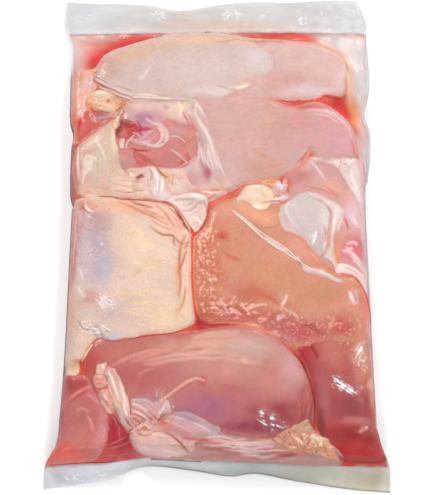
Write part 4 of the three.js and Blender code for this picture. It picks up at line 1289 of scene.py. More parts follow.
rim_map = seam_surface(XX, YY)
inside = (
    (XX > left_edge(YY) + 0.5) & (XX < right_edge(YY) - 0.5)
    & (YY > bottom_seam_line(XX) + 0.5) & (YY < top_seam_line(XX) - 0.5)
)
slack = RIM_GAP + (JUICE_GAP - RIM_GAP) * np.minimum(film_depth(XX, YY) / RIM_REACH, 1)
empty = top_map < EMPTY_BELOW
top_tint = np.where(empty[..., None], paint(XX, YY, DEEP_JUICE, JUICE_STAINS, 60), top_tint)
first_film = stretch(np.maximum(top_map + FILM_GAP, rim_map - DITCH), rim_map)
top_tint = juice_sheet("juice_top", first_film, top_map, 1, top_tint)
top_map = np.where(inside, np.maximum(top_map, first_film - slack), top_map)

# What lies on them: skin, membrane, fat and tendons

patch(
    "top_skin",
    [(-101, 122), (-101.5, 128), (-101, 133), (-98.5, 139), (-95, 144), (-88, 148), (-78, 152),
        (-68, 155.5), (-58, 159), (-48, 161), (-30, 163), (0, 163.5), (18, 161.5), (30, 156.5), (38, 151.5),
        (44, 146), (47, 140), (48, 134), (44.5, 127), (40, 123.5), (33, 122), (27, 119.5), (29, 114),
        (22, 110), (14, 108), (9, 105.5), (4, 103), (-4, 101.8), (-18, 102), (-40, 102.5), (-60, 103),
        (-70, 104.5), (-78, 108), (-86, 112), (-94, 117.5)],
    0.5, 3, SKIN, (212, 186, 180), around=250, rings=54, seed=31, soft=1.2, sheer=0.95, edge=1.3,
    stains=[(-66, 146, 34, 7, 14, (218, 180, 154), 0.85), (0, 158, 44, 5, 0, (227, 191, 162), 0.85),
        (-90, 132, 9, 12, 0, (195, 151, 139), 0.7), (-10, 130, 40, 16, 0, (221, 204, 200), 0.6),
        (-55, 106, 26, 3.5, -4, (221, 195, 188), 0.8), (34, 140, 13, 13, 0, (222, 204, 206), 0.9),
        (0, 110, 26, 5, 0, (230, 217, 213), 0.7), (-98, 139, 5, 6, 35, (237, 140, 117), 0.7),
        (-84, 114, 12, 3.5, -28, (220, 196, 183), 0.8), (32, 153, 8, 3, -20, (231, 183, 164), 0.8)],
    relief=[lumpy(18, 0.25, 32)],
    creases=[
        (0.5, 0.7, [(-99, 122.5), (-92, 118), (-84, 114), (-76, 111), (-70, 109)], (192, 140, 122)),
        (0.5, 0.7, [(-98, 118), (-92, 113.5), (-84, 109.5), (-77, 106), (-72, 102.5)], (200, 120, 100)),
        (0.3, 0.6, [(-94, 120), (-86, 115), (-78, 112)], (226, 186, 172)),
        (0.3, 0.8, [(-70, 105), (-62, 107.5), (-54, 106.5), (-44, 105), (-34, 105.5)], (226, 176, 164)),
        (0.3, 0.7, [(-66, 103.5), (-60, 104.5), (-52, 103.5), (-42, 103)], (218, 156, 146)),
        (0, 0.9, [(-68, 106.5), (-58, 105.8), (-48, 104.8)], (246, 228, 216)),
        (0.4, 0.7, [(-1, 156), (6, 156.3), (12, 157.5), (18, 159)], (214, 150, 128)),
        (0.3, 0.7, [(0, 161.5), (12, 160.5), (24, 157)], (232, 180, 152)),
        (0.3, 0.6, [(-90, 141), (-84, 143), (-76, 145)], (222, 180, 160)),
        (0.3, 0.6, [(-97, 136), (-94, 133), (-92, 129)], (216, 176, 166)),
        (0.3, 0.6, [(-99, 131), (-96, 128), (-95, 124)], (216, 176, 166)),
        (0.3, 0.7, [(33, 154), (38, 152), (42, 147)], (232, 186, 172)),
        (0.3, 0.6, [(-1, 114), (6, 112), (13, 109.5)], (206, 176, 160)),
        (0.3, 0.7, [(18, 119), (26, 121), (34, 123), (41, 123.5)], (214, 172, 160)),
        (0, 1.2, [(-66, 118), (-60, 126), (-56, 132)], (236, 220, 220)),
        (0, 0.8, [(-70, 112), (-64, 119)], (212, 188, 186)),
    ],
    marks=[(-90, 126, 14, 12, 0, 0.12)],
)
for k, (line, width, tone) in enumerate([
    ([(-103, 123), (-98, 119.5), (-91, 115.5), (-84, 112), (-76, 108), (-69, 104.5)], 4.4, (228, 196, 188)),
    ([(-100, 117), (-93, 112.5), (-86, 109.5), (-79, 106), (-72, 102.5)], 3.6, (232, 204, 192)),
    ([(-104, 127), (-99, 123), (-92, 118.5), (-85, 114.5), (-78, 111)], 2.2, (224, 190, 182)),
    ([(-70, 104), (-60, 103.8), (-50, 103.2), (-38, 102.6), (-26, 102)], 3.0, (242, 222, 214)),
]):
    strand(f"edge_fold_{k + 1}", line, width, 0.5, SKIN, tone, seed=150 + k, count=80, sheer=0.65)
patch(
    "torn_fat",
    [(12, 109.5), (16, 109), (22, 110), (28, 113), (30, 116.5), (24, 119.5), (18, 119), (13, 115)],
    0.6, 2, PALE, (225, 188, 172), seed=34, around=80, rings=18, soft=0.8,
    creases=[
        (0.7, 0.9, [(13, 116.5), (17, 117), (20, 116.5)], (196, 130, 110)),
        (0.4, 0.6, [(20, 119), (26, 118), (31, 115)], (214, 160, 140)),
        (0.4, 0.6, [(10, 108.5), (18, 108.5), (28, 111)], (206, 160, 130)),
        (0, 0.8, [(15, 112), (21, 113), (26, 115.5)], (252, 240, 216)),
    ],
    relief=[lumpy(4, 0.3, 35)],
)
patch(
    "edge_dab",
    [(-108, 131.5), (-106, 134.5), (-102, 135), (-100, 131.5), (-101, 128.5), (-104, 129)],
    1.0, 2.5, FAT, (251, 176, 147), seed=36, around=60, rings=14, soft=0.8,
    creases=[
        (0.6, 0.7, [(-108, 131), (-104, 128.5), (-101, 127.5), (-99, 124.5)], (170, 70, 50)),
        (0, 0.6, [(-105, 132.5), (-102, 131.5)], (250, 220, 180)),
    ],
)
patch(
    "edge_meat",
    [(-108, 93), (-104, 93), (-99, 92.5), (-94, 90.5), (-89, 88), (-85, 86.5), (-88, 83), (-94, 78.5),
        (-100, 73.5), (-106, 68), (-112, 64), (-116, 66), (-117, 76), (-114, 86)],
    0.8, 3, DARK, (202, 101, 88), seed=99, around=120, rings=26, soft=1.0,
    stains=[(-96, 86.5, 8, 5, -20, (192, 133, 142), 1.0), (-113, 84, 4, 8, 0, (228, 56, 8), 0.9),
        (-107, 72, 8, 5, 40, (216, 105, 100), 0.8), (-88, 86, 3, 2.5, 0, (163, 97, 96), 0.8)],
    creases=[
        (0.4, 0.7, [(-103, 93), (-97, 92.5), (-92, 90), (-87, 88)], (150, 70, 62)),
        (0.3, 0.8, [(-112, 64), (-104, 69.5), (-97, 76), (-90, 81.5)], (240, 150, 130)),
    ],
)
patch(
    "side_skin",
    [(-77, 97), (-81, 91), (-86, 85), (-93, 79), (-100, 73), (-107, 67), (-113, 62.5), (-115, 54),
        (-115, 40), (-113, 28), (-112, 18), (-104, 14), (-93, 15.5), (-82, 14), (-75, 16), (-73, 26),
        (-75, 36), (-79, 46), (-80, 55), (-82, 62), (-83, 68), (-83, 74), (-80, 80), (-79, 88)],
    1.4, 3, SKIN, (219, 178, 158),
    centre=[(-82, 88), (-88, 76), (-94, 62), (-97, 46), (-96, 30)],
    around=240, rings=34, seed=37, soft=0.8, edge=0.8,
    stains=[(-96, 48, 14, 24, 0, (216, 196, 180), 0.85), (-81, 88, 4, 9, -30, (237, 204, 189), 0.9),
        (-112, 42, 2.4, 22, 0, (198, 150, 135), 0.8), (-74, 28, 10, 10, 0, (241, 213, 192), 0.7),
        (-84, 66, 3, 14, 0, (235, 221, 191), 0.7), (-100, 18, 9, 5, 0, (243, 205, 187), 0.7),
        (-104, 60, 6, 6, 40, (205, 163, 144), 0.7), (-70, 20, 10, 6, 0, (253, 212, 190), 0.7)],
    relief=[lumpy(14, 0.4, 38), lumpy(4, 0.12, 39)],
    creases=[
        (0.3, 0.7, [(-92, 30), (-84, 26), (-74, 24), (-64, 24)], (226, 176, 150)),
        (0.3, 0.7, [(-94, 22), (-84, 20), (-72, 19), (-62, 19.5)], (230, 170, 146)),
        (0.3, 0.6, [(-110, 20), (-106, 24), (-104, 32)], (230, 180, 160)),
        (0.4, 0.7, [(-108, 16), (-104, 19), (-100, 18)], (226, 160, 140)),
        (0.3, 0.6, [(-80, 34), (-74, 33), (-68, 35)], (240, 190, 140)),
        (0.3, 0.6, [(-78, 28), (-72, 29), (-66, 27)], (232, 186, 150)),
        (0, 0.9, [(-79, 96), (-80.5, 88), (-84, 80), (-85, 72)], (250, 226, 190)),
        (0.3, 0.7, [(-84, 86), (-86, 80), (-84, 74)], (222, 160, 120)),
        (0, 1.0, [(-114, 60), (-113.5, 46), (-112, 30)], (250, 232, 226)),
        (0, 1.3, [(-79.5, 90), (-79, 85), (-80.5, 80)], (130, 44, 40)),
        (0, 1.1, [(-83.5, 76), (-82, 72.5), (-83, 69)], (150, 60, 46)),
        (0.4, 0.8, [(-86, 85), (-82, 79), (-83, 72), (-82, 64)], (226, 160, 110)),
        (0.3, 0.6, [(-94, 60), (-88, 52), (-84, 44)], (226, 186, 160)),
        (0.3, 0.6, [(-104, 52), (-98, 42), (-96, 32)], (224, 188, 166)),
        (0, 0.7, [(-100, 66), (-94, 56), (-90, 46)], (244, 224, 204)),
    ],
    marks=[(-84, 84, 8, 12, 0, 0.1), (-96, 40, 14, 26, 0, 0.06)],
)
patch(
    "side_skin_foot",
    [(-84, 14), (-80, 14), (-66, 12.5), (-58, 13), (-56, 22), (-58, 30), (-62, 38), (-70, 38), (-76, 40),
        (-80, 44), (-84, 40), (-87, 30), (-87, 20)],
    0.4, 4, SKIN, (228, 196, 179), around=150, rings=26, seed=38, soft=3.0, edge=1.2,
    stains=[(-70, 20, 10, 6, 0, (255, 221, 195), 0.7), (-66, 32, 8, 5, 0, (228, 186, 162), 0.6)],
    relief=[lumpy(8, 0.3, 40)],
    creases=[
        (0.3, 0.6, [(-80, 34), (-74, 33), (-68, 35)], (240, 190, 140)),
        (0.3, 0.6, [(-78, 28), (-72, 29), (-66, 27)], (232, 186, 150)),
        (0.3, 0.7, [(-84, 26), (-74, 24), (-64, 24)], (226, 176, 150)),
        (0.3, 0.7, [(-82, 20), (-72, 19), (-62, 19.5)], (230, 170, 146)),
    ],
)
patch(
    "lower_lobe",
    [(-79.5, 55), (-73, 57), (-69, 55), (-67, 49), (-66, 43.5), (-70, 39), (-76, 39.5), (-79.5, 46)],
    0.8, 4, DARK, (207, 148, 141), seed=41, around=100, rings=22, soft=0.8,
    stains=[(-74, 55, 5, 2, 0, (206, 137, 125), 0.8), (-78, 47, 2, 7, 0, (209, 153, 124), 0.7)],
)
patch(
    "upper_membrane",
    [(-80, 88), (-78, 95), (-73, 101.5), (-60, 102.8), (-40, 102.8), (-18, 102.3), (-15, 97), (-16, 90),
        (-20, 84), (-25, 79), (-31, 80), (-38, 83), (-43, 83), (-48, 78), (-56, 75.5), (-64, 76),
        (-70, 79.5), (-76, 83)],
    0.7, 3, MEMBRANE, (221, 186, 178), centre=(-48, 92), seed=49, soft=1.5, sheer=0.95, edge=1.2,
    stains=[(-60, 85, 12, 8, 0, (179, 123, 145), 0.95), (-47, 87, 7, 5, -10, (207, 157, 159), 0.9),
        (-30, 96, 15, 8, 0, (229, 203, 180), 0.95), (-74, 91, 6, 8, 30, (193, 160, 149), 0.8),
        (-56, 98, 12, 3, 0, (219, 192, 176), 0.7), (-24, 85, 4, 7, 20, (236, 194, 171), 0.8),
        (-43, 95, 3, 2, 0, (206, 159, 158), 0.7), (-66, 80, 4, 3, 0, (205, 110, 143), 0.6)],
    relief=[lumpy(7, 0.25, 51)],
    creases=[
        (0.4, 0.8, [(-29, 92), (-27, 87), (-24, 82), (-22, 78)], (200, 120, 104)),
        (0.4, 1.0, [(-79, 97), (-78.5, 91), (-79, 86)], (140, 50, 50)),
        (0, 0.9, [(-60, 85), (-54, 81), (-48, 78)], (230, 190, 206)),
        (0, 0.8, [(-45, 95.5), (-42, 95), (-40, 93.5)], (216, 140, 146)),
        (0, 1.2, [(-20, 100), (-18, 95), (-18, 90)], (250, 240, 224)),
        (0, 0.8, [(-33, 102), (-30, 94), (-31, 86)], (250, 236, 214)),
    ],
)
patch(
    "crimson_meat",
    [(-80, 85), (-77, 83), (-74, 84.5), (-70, 82.5), (-66, 83), (-63, 79.5), (-60.5, 76), (-60, 71),
        (-63, 68.5), (-67, 70), (-71, 69), (-74, 65.5), (-78, 62), (-81.5, 65), (-82.5, 72), (-81, 78)],
    0.3, 3, DARK, (181, 57, 66), around=110, rings=22, seed=48, soft=1.2, sheer=0.9,
    stains=[(-76, 71, 4, 6, 0, (206, 119, 109), 0.9), (-64, 74, 4, 5, 0, (193, 61, 86), 0.9),
        (-70, 75, 3, 3, 0, (199, 91, 97), 0.8)],
    creases=[
        (0.4, 0.9, [(-80.5, 84), (-79, 81), (-75, 82), (-71, 80.5), (-67.5, 81.5), (-65, 77)],
            (100, 14, 26)),
        (0.4, 0.8, [(-80, 84), (-81, 79), (-79, 75), (-82, 71), (-80, 66)], (110, 22, 26)),
        (0.2, 0.6, [(-76, 79), (-72, 77), (-68, 78)], (128, 26, 36)),
    ],
)
for k, (line, width, height, tone, sheer) in enumerate([
    ([(-52, 80), (-47, 78.5), (-43, 74), (-41.5, 68), (-43, 62.5)], 5.4, 0.4, (234, 204, 200), 0.7),
    ([(-50, 77.5), (-46.5, 74), (-45, 69), (-46.5, 64), (-50, 61)], 3.6, 0.4, (244, 220, 214), 0.6),
    ([(-43, 62), (-48, 59.5), (-54, 60), (-59, 62)], 4.2, 0.4, (238, 208, 202), 0.65),
    ([(-72, 66.5), (-66, 63.5), (-60, 62.5), (-54, 64.5)], 5.0, 0.4, (228, 180, 182), 0.6),
    ([(-68, 65), (-63, 66), (-58, 69.5), (-54, 74)], 3.2, 0.3, (224, 174, 186), 0.5),
    ([(-77.5, 57.5), (-78, 62), (-76.5, 66.5)], 4.6, 0.4, (240, 214, 206), 0.8),
    ([(-74.5, 57.5), (-74, 62), (-71, 66), (-68, 70)], 3.0, 0.4, (234, 196, 192), 0.6),
    ([(-63, 72), (-57, 71.5), (-52, 73)], 5.0, 0.3, (214, 160, 182), 0.5),
    ([(-70, 72), (-66, 71), (-63, 68)], 2.4, 0.3, (232, 180, 178), 0.6),
]):
    strand(f"cartilage_{k + 1}", line, width, height, MEMBRANE, tone, seed=43 + k, sheer=sheer)
for k, (line, width) in enumerate([
    ([(-40, 68.5), (-34, 68.3), (-30, 66.5), (-26.5, 63)], 1.6),
    ([(-39, 57), (-34, 53.5), (-29, 49), (-24, 44.5)], 1.6),
    ([(-37, 56.5), (-31, 52.5), (-26, 48)], 1.0),
    ([(-31, 40.8), (-27, 43.6), (-22, 46.5), (-18, 50)], 1.2),
]):
    strand(
        f"white_thread_{k + 1}", line, width, 0.4, MEMBRANE, (240, 200, 190), seed=56 + k, count=50,
        sheer=0.7,
    )
patch(
    "side_membrane",
    [(-18, 102), (-14, 97), (-10, 88), (-6, 76), (-2, 64), (1, 54), (4, 42), (8, 32), (13, 24), (6, 20.5),
        (-4, 20), (-16, 20), (-27, 21), (-31, 30), (-29, 38), (-23, 44), (-19, 50), (-17, 60), (-18, 70),
        (-21, 78), (-25, 84), (-27, 92), (-24, 100)],
    0.7, 4, MEMBRANE, (217, 186, 181), centre=[(-19, 92), (-13, 76), (-9, 60), (-7, 42)], around=220,
    seed=52, soft=1.6, sheer=0.92, edge=1.4,
    stains=[(-9, 34, 4.5, 8, 15, (165, 64, 87), 0.9), (-22, 28, 9, 8, 0, (198, 149, 146), 0.85),
        (-13, 86, 3, 16, 22, (214, 180, 165), 0.9), (-3, 56, 2.6, 16, 12, (201, 161, 154), 0.85),
        (-14, 56, 4, 16, 5, (210, 175, 170), 0.85), (5, 32, 4, 8, 20, (220, 170, 158), 0.7),
        (-4, 21.5, 18, 2.5, 0, (235, 187, 172), 0.85), (-9, 70, 3, 12, 15, (188, 150, 152), 0.8),
        (6, 24, 6, 3, 0, (244, 195, 179), 0.6), (-12, 44, 3, 8, 0, (173, 126, 127), 0.7)],
    relief=[lumpy(8, 0.25, 54)],
    creases=[
        (-0.4, 1.3, [(-21, 92), (-16, 82), (-11, 74), (-7, 66), (-4, 56), (-2, 46), (1, 38)],
            (246, 224, 218)),
        (-0.3, 0.9, [(-18, 98), (-14, 92), (-10, 84)], (248, 232, 224)),
        (0.2, 0.8, [(-16, 62), (-15.5, 66), (-16.5, 58)], (176, 120, 120)),
        (0, 0.7, [(-19, 72), (-16, 64), (-15, 54), (-17, 46)], (234, 206, 206)),
        (0, 0.8, [(-1, 52), (2, 42), (6, 33)], (238, 216, 214)),
        (0.2, 0.7, [(-24, 90), (-22, 84), (-19, 77), (-16, 72)], (206, 140, 124)),
        *bundle([(-14, 60), (-12, 46), (-6, 34)], [(-6, 62), (-4, 48), (2, 32)], 5, 0, 0.7, 580,
            (236, 212, 214)),
    ],
)
patch(
    "crumpled_skin",
    [(-74, 38.5), (-68, 40.5), (-60, 41), (-54, 42.5), (-49, 41), (-40, 40.8), (-30, 40.3), (-27, 41),
        (-25, 36), (-20, 26), (-12, 22), (-4, 21), (6, 21), (8, 18), (2, 14.5), (-6, 11), (-12, 13),
        (-24, 15), (-32, 10), (-40, 11), (-48, 12), (-56, 13), (-64, 14), (-68, 20), (-70, 30)],
    1.2, 3, SKIN, (230, 189, 176),
    centre=[(-66, 28), (-50, 27), (-34, 26), (-20, 20), (-6, 16.5)],
    around=280, rings=34, seed=55, soft=0.9, edge=0.8,
    stains=[(-63, 31.5, 3.2, 2.2, 0, (138, 22, 19), 1.0), (-51, 28, 5.5, 12, 14, (221, 200, 189), 0.95),
        (-40, 32, 5, 6, 0, (229, 174, 140), 0.85), (-45, 17, 8, 4, -10, (236, 221, 217), 0.85),
        (-12, 19, 12, 3, 0, (225, 151, 128), 0.8), (-67, 24, 7, 9, 0, (224, 195, 176), 0.7),
        (-60, 18, 8, 4, 0, (238, 211, 196), 0.7), (-56, 40, 10, 2, 0, (230, 193, 187), 0.8),
        (-32, 24, 6, 8, 0, (236, 211, 196), 0.8), (-34, 37, 6, 2.5, 0, (218, 204, 198), 0.8),
        (-70, 36, 5, 3, 0, (212, 186, 177), 0.7)],
    relief=[folds(72, 9, 0.5, 56, 1.2), lumpy(6, 0.4, 57)],
    creases=[
        (0.8, 0.9, [(-66, 30.6), (-63.4, 32.2), (-61, 33.6), (-60, 31)], (150, 56, 56)),
        (0.9, 0.8, [(-49.5, 41.5), (-46.5, 36.5), (-43, 33), (-40.5, 31.5)], (168, 84, 62)),
        (0.4, 0.5, [(-40.4, 31.6), (-39, 28.8), (-40, 25), (-39.4, 20)], (226, 172, 148)),
        (0.4, 0.5, [(-35.6, 34.6), (-35.4, 31), (-36.6, 27.6), (-36, 23)], (214, 152, 124)),
        (0.6, 0.7, [(-57.5, 37), (-57, 28), (-55, 20), (-52, 15)], (222, 184, 178)),
        (0.5, 0.6, [(-55, 40), (-53, 34), (-54, 28)], (206, 150, 140)),
        (0, 0.9, [(-54, 41), (-50, 36), (-48, 28), (-49, 20)], (252, 246, 246)),
        (0, 0.8, [(-45, 33), (-44, 26), (-45, 18)], (250, 240, 238)),
        (0.4, 0.6, [(-48, 30), (-47, 22), (-48, 16)], (214, 196, 200)),
        (0.4, 0.7, [(-72, 30), (-66, 27), (-60, 27)], (224, 176, 146)),
        (0.4, 0.7, [(-70, 21), (-64, 20), (-58, 20)], (226, 170, 144)),
        (0.4, 0.7, [(-73, 35), (-69, 37), (-66, 36)], (236, 186, 140)),
        (0.4, 0.6, [(-33, 32), (-30, 30), (-29, 36)], (214, 160, 140)),
        (0.4, 0.7, [(-38, 17), (-30, 17), (-20, 18.5)], (230, 186, 174)),
        (0.5, 0.7, [(-6, 20), (-2, 17), (-8, 13)], (222, 140, 120)),
        (0, 0.8, [(-14, 20.5), (-6, 19), (2, 18.5)], (250, 232, 222)),
    ],
)
patch(
    "skin_flap",
    [(-41, 12), (-36, 15), (-26, 18.5), (-13, 18), (-8, 14), (-8, 4), (-11, -6), (-17, -14.5), (-20, -12),
        (-24, -6), (-28, 0), (-31, 5), (-36, 9)],
    1.0, 3, SKIN, (254, 223, 213), around=180, rings=40, seed=58, soft=0.6, edge=0.7,
    stains=[(-26, 6, 6, 3.5, 20, (253, 226, 221), 0.85), (-14, -4, 4.5, 9, 0, (207, 188, 180), 0.8),
        (-20, 14, 10, 3, 0, (255, 255, 254), 0.7), (-32, 11, 6, 3, 0, (255, 242, 239), 0.7)],
    relief=[lumpy(6, 0.4, 60)],
    creases=[
        (0.5, 0.7, [(-11, 12), (-9, 8), (-9.5, 2)], (206, 180, 184)),
        (0.4, 0.6, [(-29, 4.5), (-24, 5.5), (-19, 8.6), (-15, 11.6), (-11.6, 11)], (218, 184, 180)),
        (0.3, 0.6, [(-26, 0.5), (-21, 2.6), (-16.4, 6), (-12.6, 8)], (234, 208, 204)),
        (0.3, 0.6, [(-33, 8), (-27, 9.4), (-21, 11.4), (-16, 13.2)], (236, 206, 200)),
        (0.4, 0.6, [(-35, 12), (-27, 13.5), (-17, 14)], (232, 186, 174)),
        (0.4, 0.6, [(-20, -4), (-17, -9), (-15, -12)], (224, 200, 200)),
        (0, 0.8, [(-18, 2), (-14, -4), (-13, -10)], (252, 244, 242)),
    ],
)
patch(
    "upper_orange",
    [(10, 12), (20, 16), (32, 6), (44, 4), (50, -6), (44, -12), (30, -10), (18, -4)],
    0.3, 4, FAT, (238, 166, 142), around=120, rings=20, seed=100, soft=4, sheer=0.7, edge=1.5,
)
patch(
    "middle_fat",
    [(15, 13), (18, 19), (22, 24), (30, 26.3), (38, 25), (43, 21), (46, 15), (44, 9), (41, 4), (36, 1.5),
        (31, 2.5), (27, 6), (22, 9), (17, 10.5)],
    1.8, 3.5, FAT, (241, 210, 192), around=160, rings=40, seed=61, soft=0.8, edge=0.8,
    stains=[(19, 16, 5, 6, 30, (239, 202, 187), 0.85), (30, 4, 9, 3, 0, (255, 255, 233), 0.8),
        (36, 16, 6, 6, 0, (231, 221, 195), 0.7), (44, 14, 3, 6, 0, (249, 216, 185), 0.7)],
    relief=[lumpy(7, 0.5, 62)],
    creases=[
        (0.5, 0.6, [(33, 19), (37, 15), (42, 11)], (240, 206, 150)),
        (0.4, 0.6, [(24, 11), (31, 10), (37, 11)], (246, 206, 164)),
        (0, 0.8, [(22, 22), (28, 24), (35, 22)], (254, 246, 226)),
        (0.4, 0.6, [(35, 8), (40, 9), (45, 9.5)], (206, 140, 100)),
    ],
)
patch(
    "fat_strip",
    [(32, 27), (38, 29.5), (45, 32.3), (51, 33.2), (49.5, 28), (46, 24.5), (40, 25.5)],
    0.8, 2, FAT, (236, 166, 137), around=80, rings=16, seed=63, soft=0.6,
    creases=[
        (0.4, 0.6, [(38, 27), (44, 28), (48, 30)], (240, 150, 90)),
        (0, 0.8, [(47, 26), (49, 30)], (254, 226, 190)),
    ],
)
patch(
    "lilac_flap",
    [(43, 20), (45, 25), (50, 30.5), (52.5, 26.5), (56.5, 26), (55.5, 20.5), (53.5, 16.5), (49, 15),
        (45, 16.5)],
    0.9, 2.5, MEMBRANE, (222, 176, 170), around=90, rings=18, centre=(50, 22), seed=64, edge=0.7,
    relief=[lumpy(4, 0.3, 65)],
    creases=[
        (0.4, 0.6, [(46, 22), (50, 20.5), (53, 24)], (214, 166, 176)),
        (0.5, 0.6, [(55.5, 20), (52, 18.5), (48, 19.5)], (206, 130, 124)),
        (0, 0.7, [(47, 25), (50, 27), (52, 22)], (248, 234, 238)),
    ],
)
patch(
    "lilac_fold",
    [(40, 9), (44, 12.5), (49, 14.5), (54, 17.5), (58, 14.5), (56, 11), (50, 8.6), (45, 7.4)],
    0.8, 2.5, MEMBRANE, (228, 187, 182), around=80, rings=16, centre=(50, 11.8), seed=67, soft=0.6,
    edge=0.7, relief=[lumpy(4, 0.3, 68)],
    creases=[
        (0.5, 0.6, [(41, 9), (46, 10.5), (52, 10.5), (57, 13)], (176, 104, 98)),
        (0, 0.7, [(43, 11), (49, 12.8), (54, 15.5)], (250, 230, 226)),
    ],
)
patch(
    "grey_membrane",
    [(57, 12), (62, 16.5), (67, 19.3), (73, 18.5), (82, 12), (88.5, 5), (90, -3), (88, -12), (86.5, -22),
        (85, -31), (80, -36), (75, -32), (71, -26), (68, -21), (62, -17.5), (55, -16), (50, -11), (48, -3),
        (49, 5), (52, 9)],
    0.6, 4, MEMBRANE, (218, 199, 195), around=180, rings=38, seed=66, soft=1.0, sheer=0.96, edge=1.2,
    stains=[(78, -22, 6, 12, 10, (207, 181, 181), 0.9), (54, -4, 5, 10, 0, (214, 185, 184), 0.85),
        (70, 8, 14, 6, 0, (209, 200, 199), 0.8), (64, -14, 6, 4, 0, (218, 194, 193), 0.8),
        (72, -8, 8, 7, 0, (211, 199, 200), 0.7), (84, -4, 4, 10, 0, (233, 222, 216), 0.8)],
    relief=[lumpy(12, 0.3, 67)],
    creases=[
        (0.2, 0.6, [(71, 18), (78, 12.5), (84, 9.5), (88, 6)], (206, 180, 174)),
        (0, 0.8, [(72, 19), (79, 14), (86, 10.5)], (250, 244, 244)),
        (0, 0.9, [(78.5, -14), (76.5, -20), (74.5, -26)], (252, 252, 255)),
        (0.3, 0.9, [(82, -8), (85, -15), (84, -24)], (190, 170, 180)),
        (0, 1.0, [(84, -30), (86, -22), (88, -14)], (240, 230, 228)),
        (0.2, 0.7, [(57, 12), (55, 4), (58, -4), (64, -12)], (232, 220, 224)),
        (0, 0.7, [(50, -10), (58, -14), (66, -19)], (240, 200, 190)),
        (0.2, 0.7, [(56, 14), (61, 18), (67, 20)], (214, 170, 160)),
    ],
)
patch(
    "cream_strip",
    [(71, 20), (78, 18.5), (86, 15), (93, 11), (99, 6), (101.5, 0), (100, -8), (96, -15), (93, -18),
        (92.5, -26), (93, -36), (95, -46), (91, -48), (88, -43), (84, -39), (82, -36), (85, -30),
        (87.5, -22), (88.5, -10), (90.5, 0), (87, 6), (80, 11.5), (73, 17)],
    0.35, 3, PALE, (238, 224, 214),
    centre=[(76, 17.5), (84, 14), (91, 8), (95, 0), (94.5, -8), (91, -16), (90, -26), (89.5, -36),
        (91, -44)],
    around=220, rings=22, seed=68, soft=2.2, sheer=0.95, edge=1.2,
    stains=[(94, 4, 6, 6, 0, (226, 222, 213), 0.8), (90, -30, 4, 10, 0, (233, 207, 188), 0.8),
        (99, -4, 3, 9, 0, (240, 201, 192), 0.7), (80, 17, 9, 2, -20, (238, 238, 235), 0.7)],
    relief=[lumpy(8, 0.3, 69)],
    creases=[
        (0.5, 0.8, [(84, -38), (88.5, -41.5), (91, -48)], (126, 78, 66)),
        (0.2, 0.7, [(90, 2), (90, -10), (89, -22)], (222, 206, 196)),
        (0, 0.8, [(95, 6), (93, -4), (91, -16), (90, -28)], (250, 240, 230)),
        (0.2, 0.7, [(97, -4), (94, -12), (93, -20)], (236, 190, 176)),
    ],
)
patch(
    "white_strip",
    [(92, -46), (95, -42), (101, -42), (108, -46), (113, -50), (117, -56), (118.5, -65), (115, -63.5),
        (111, -57), (107, -52), (100, -49.8), (93, -49.5)],
    0.9, 2.5, PALE, (252, 227, 223), around=140, rings=16,
    centre=[(96, -45.5), (101, -46), (107, -49), (112, -53.5), (116, -61)],
    seed=70, edge=0.7,
    creases=[
        (0.3, 0.7, [(97, -44), (104, -47), (110, -51), (115, -58)], (230, 190, 184)),
        (0.5, 0.9, [(92, -51), (100, -51.5), (107, -53.5), (111, -58), (115, -65)], (232, 110, 84)),
    ],
)
patch(
    "white_lump",
    [(75, 50), (82, 50.5), (90, 50), (98, 49), (102, 50), (107, 49.5), (112, 51), (114.5, 44), (117, 34),
        (118, 20), (117.5, 9), (113.5, 10), (109, 15), (104, 24), (99.5, 33), (97.5, 38), (93, 42),
        (85, 44), (79, 44)],
    0.7, 3, PALE, (241, 213, 210),
    centre=[(79, 47), (88, 47.5), (98, 46), (105, 42), (110, 32), (114, 22), (117, 12)],
    rings=24, seed=71, soft=1.4, sheer=0.95,
    stains=[(109, 42, 6, 8, 0, (233, 209, 204), 0.9), (84, 47, 9, 3, 0, (198, 163, 168), 0.85),
        (112, 18, 5, 10, 0, (254, 231, 225), 0.8), (104, 34, 5, 6, 0, (219, 207, 205), 0.8)],
    relief=[lumpy(6, 0.3, 72)],
    creases=[
        (0.4, 0.7, [(99, 48), (100, 43), (97.5, 38.5), (99, 34)], (224, 170, 160)),
        (0.4, 0.6, [(101, 47), (105, 45.5), (108, 47.5)], (214, 180, 176)),
        (0.3, 0.7, [(101, 38), (104, 36), (107, 38)], (232, 200, 192)),
        (0, 0.8, [(103, 49), (108, 47), (112, 48)], (255, 250, 248)),
        (0, 0.8, [(107, 40), (109, 30), (113, 18)], (252, 240, 234)),
    ],
)
for k, (line, width, tone) in enumerate([
    ([(97, -31), (104, -32.5), (109, -37), (114, -43)], 2.0, (248, 218, 216)),
    ([(101, -26), (106, -24.5), (110, -27)], 1.6, (248, 206, 204)),
    ([(104, 2), (106, -6), (112, -12)], 2.2, (240, 208, 212)),
]):
    strand(f"right_thread_{k + 1}", line, width, 0.5, MEMBRANE, tone, seed=73 + k, count=60, sheer=0.85)
patch(
    "tendon_sheet",
    [(64, -42), (69, -44), (76, -46), (84, -49), (92, -53), (99, -58), (92, -57.5), (84, -55), (75, -52),
        (68, -49.5)],
    0.5, 2, MEMBRANE, (223, 203, 208), around=120, rings=24, seed=101, soft=1.0, sheer=0.9,
    creases=[
        (0, 0.7, [(67, -45), (77, -48), (88, -53)], (242, 226, 226)),
        (0.3, 0.6, [(68, -48.5), (78, -51.5), (90, -57)], (196, 160, 156)),
    ],
)
strand(
    "tendon",
    [(12.6, 2.6), (16, -2), (21, -6.5), (28, -13.5), (36, -21), (46, -28.5), (56, -35), (64, -41)],
    3.0, 0.8, MEMBRANE, (246, 216, 202), seed=80, count=140, sheer=0.95,
)
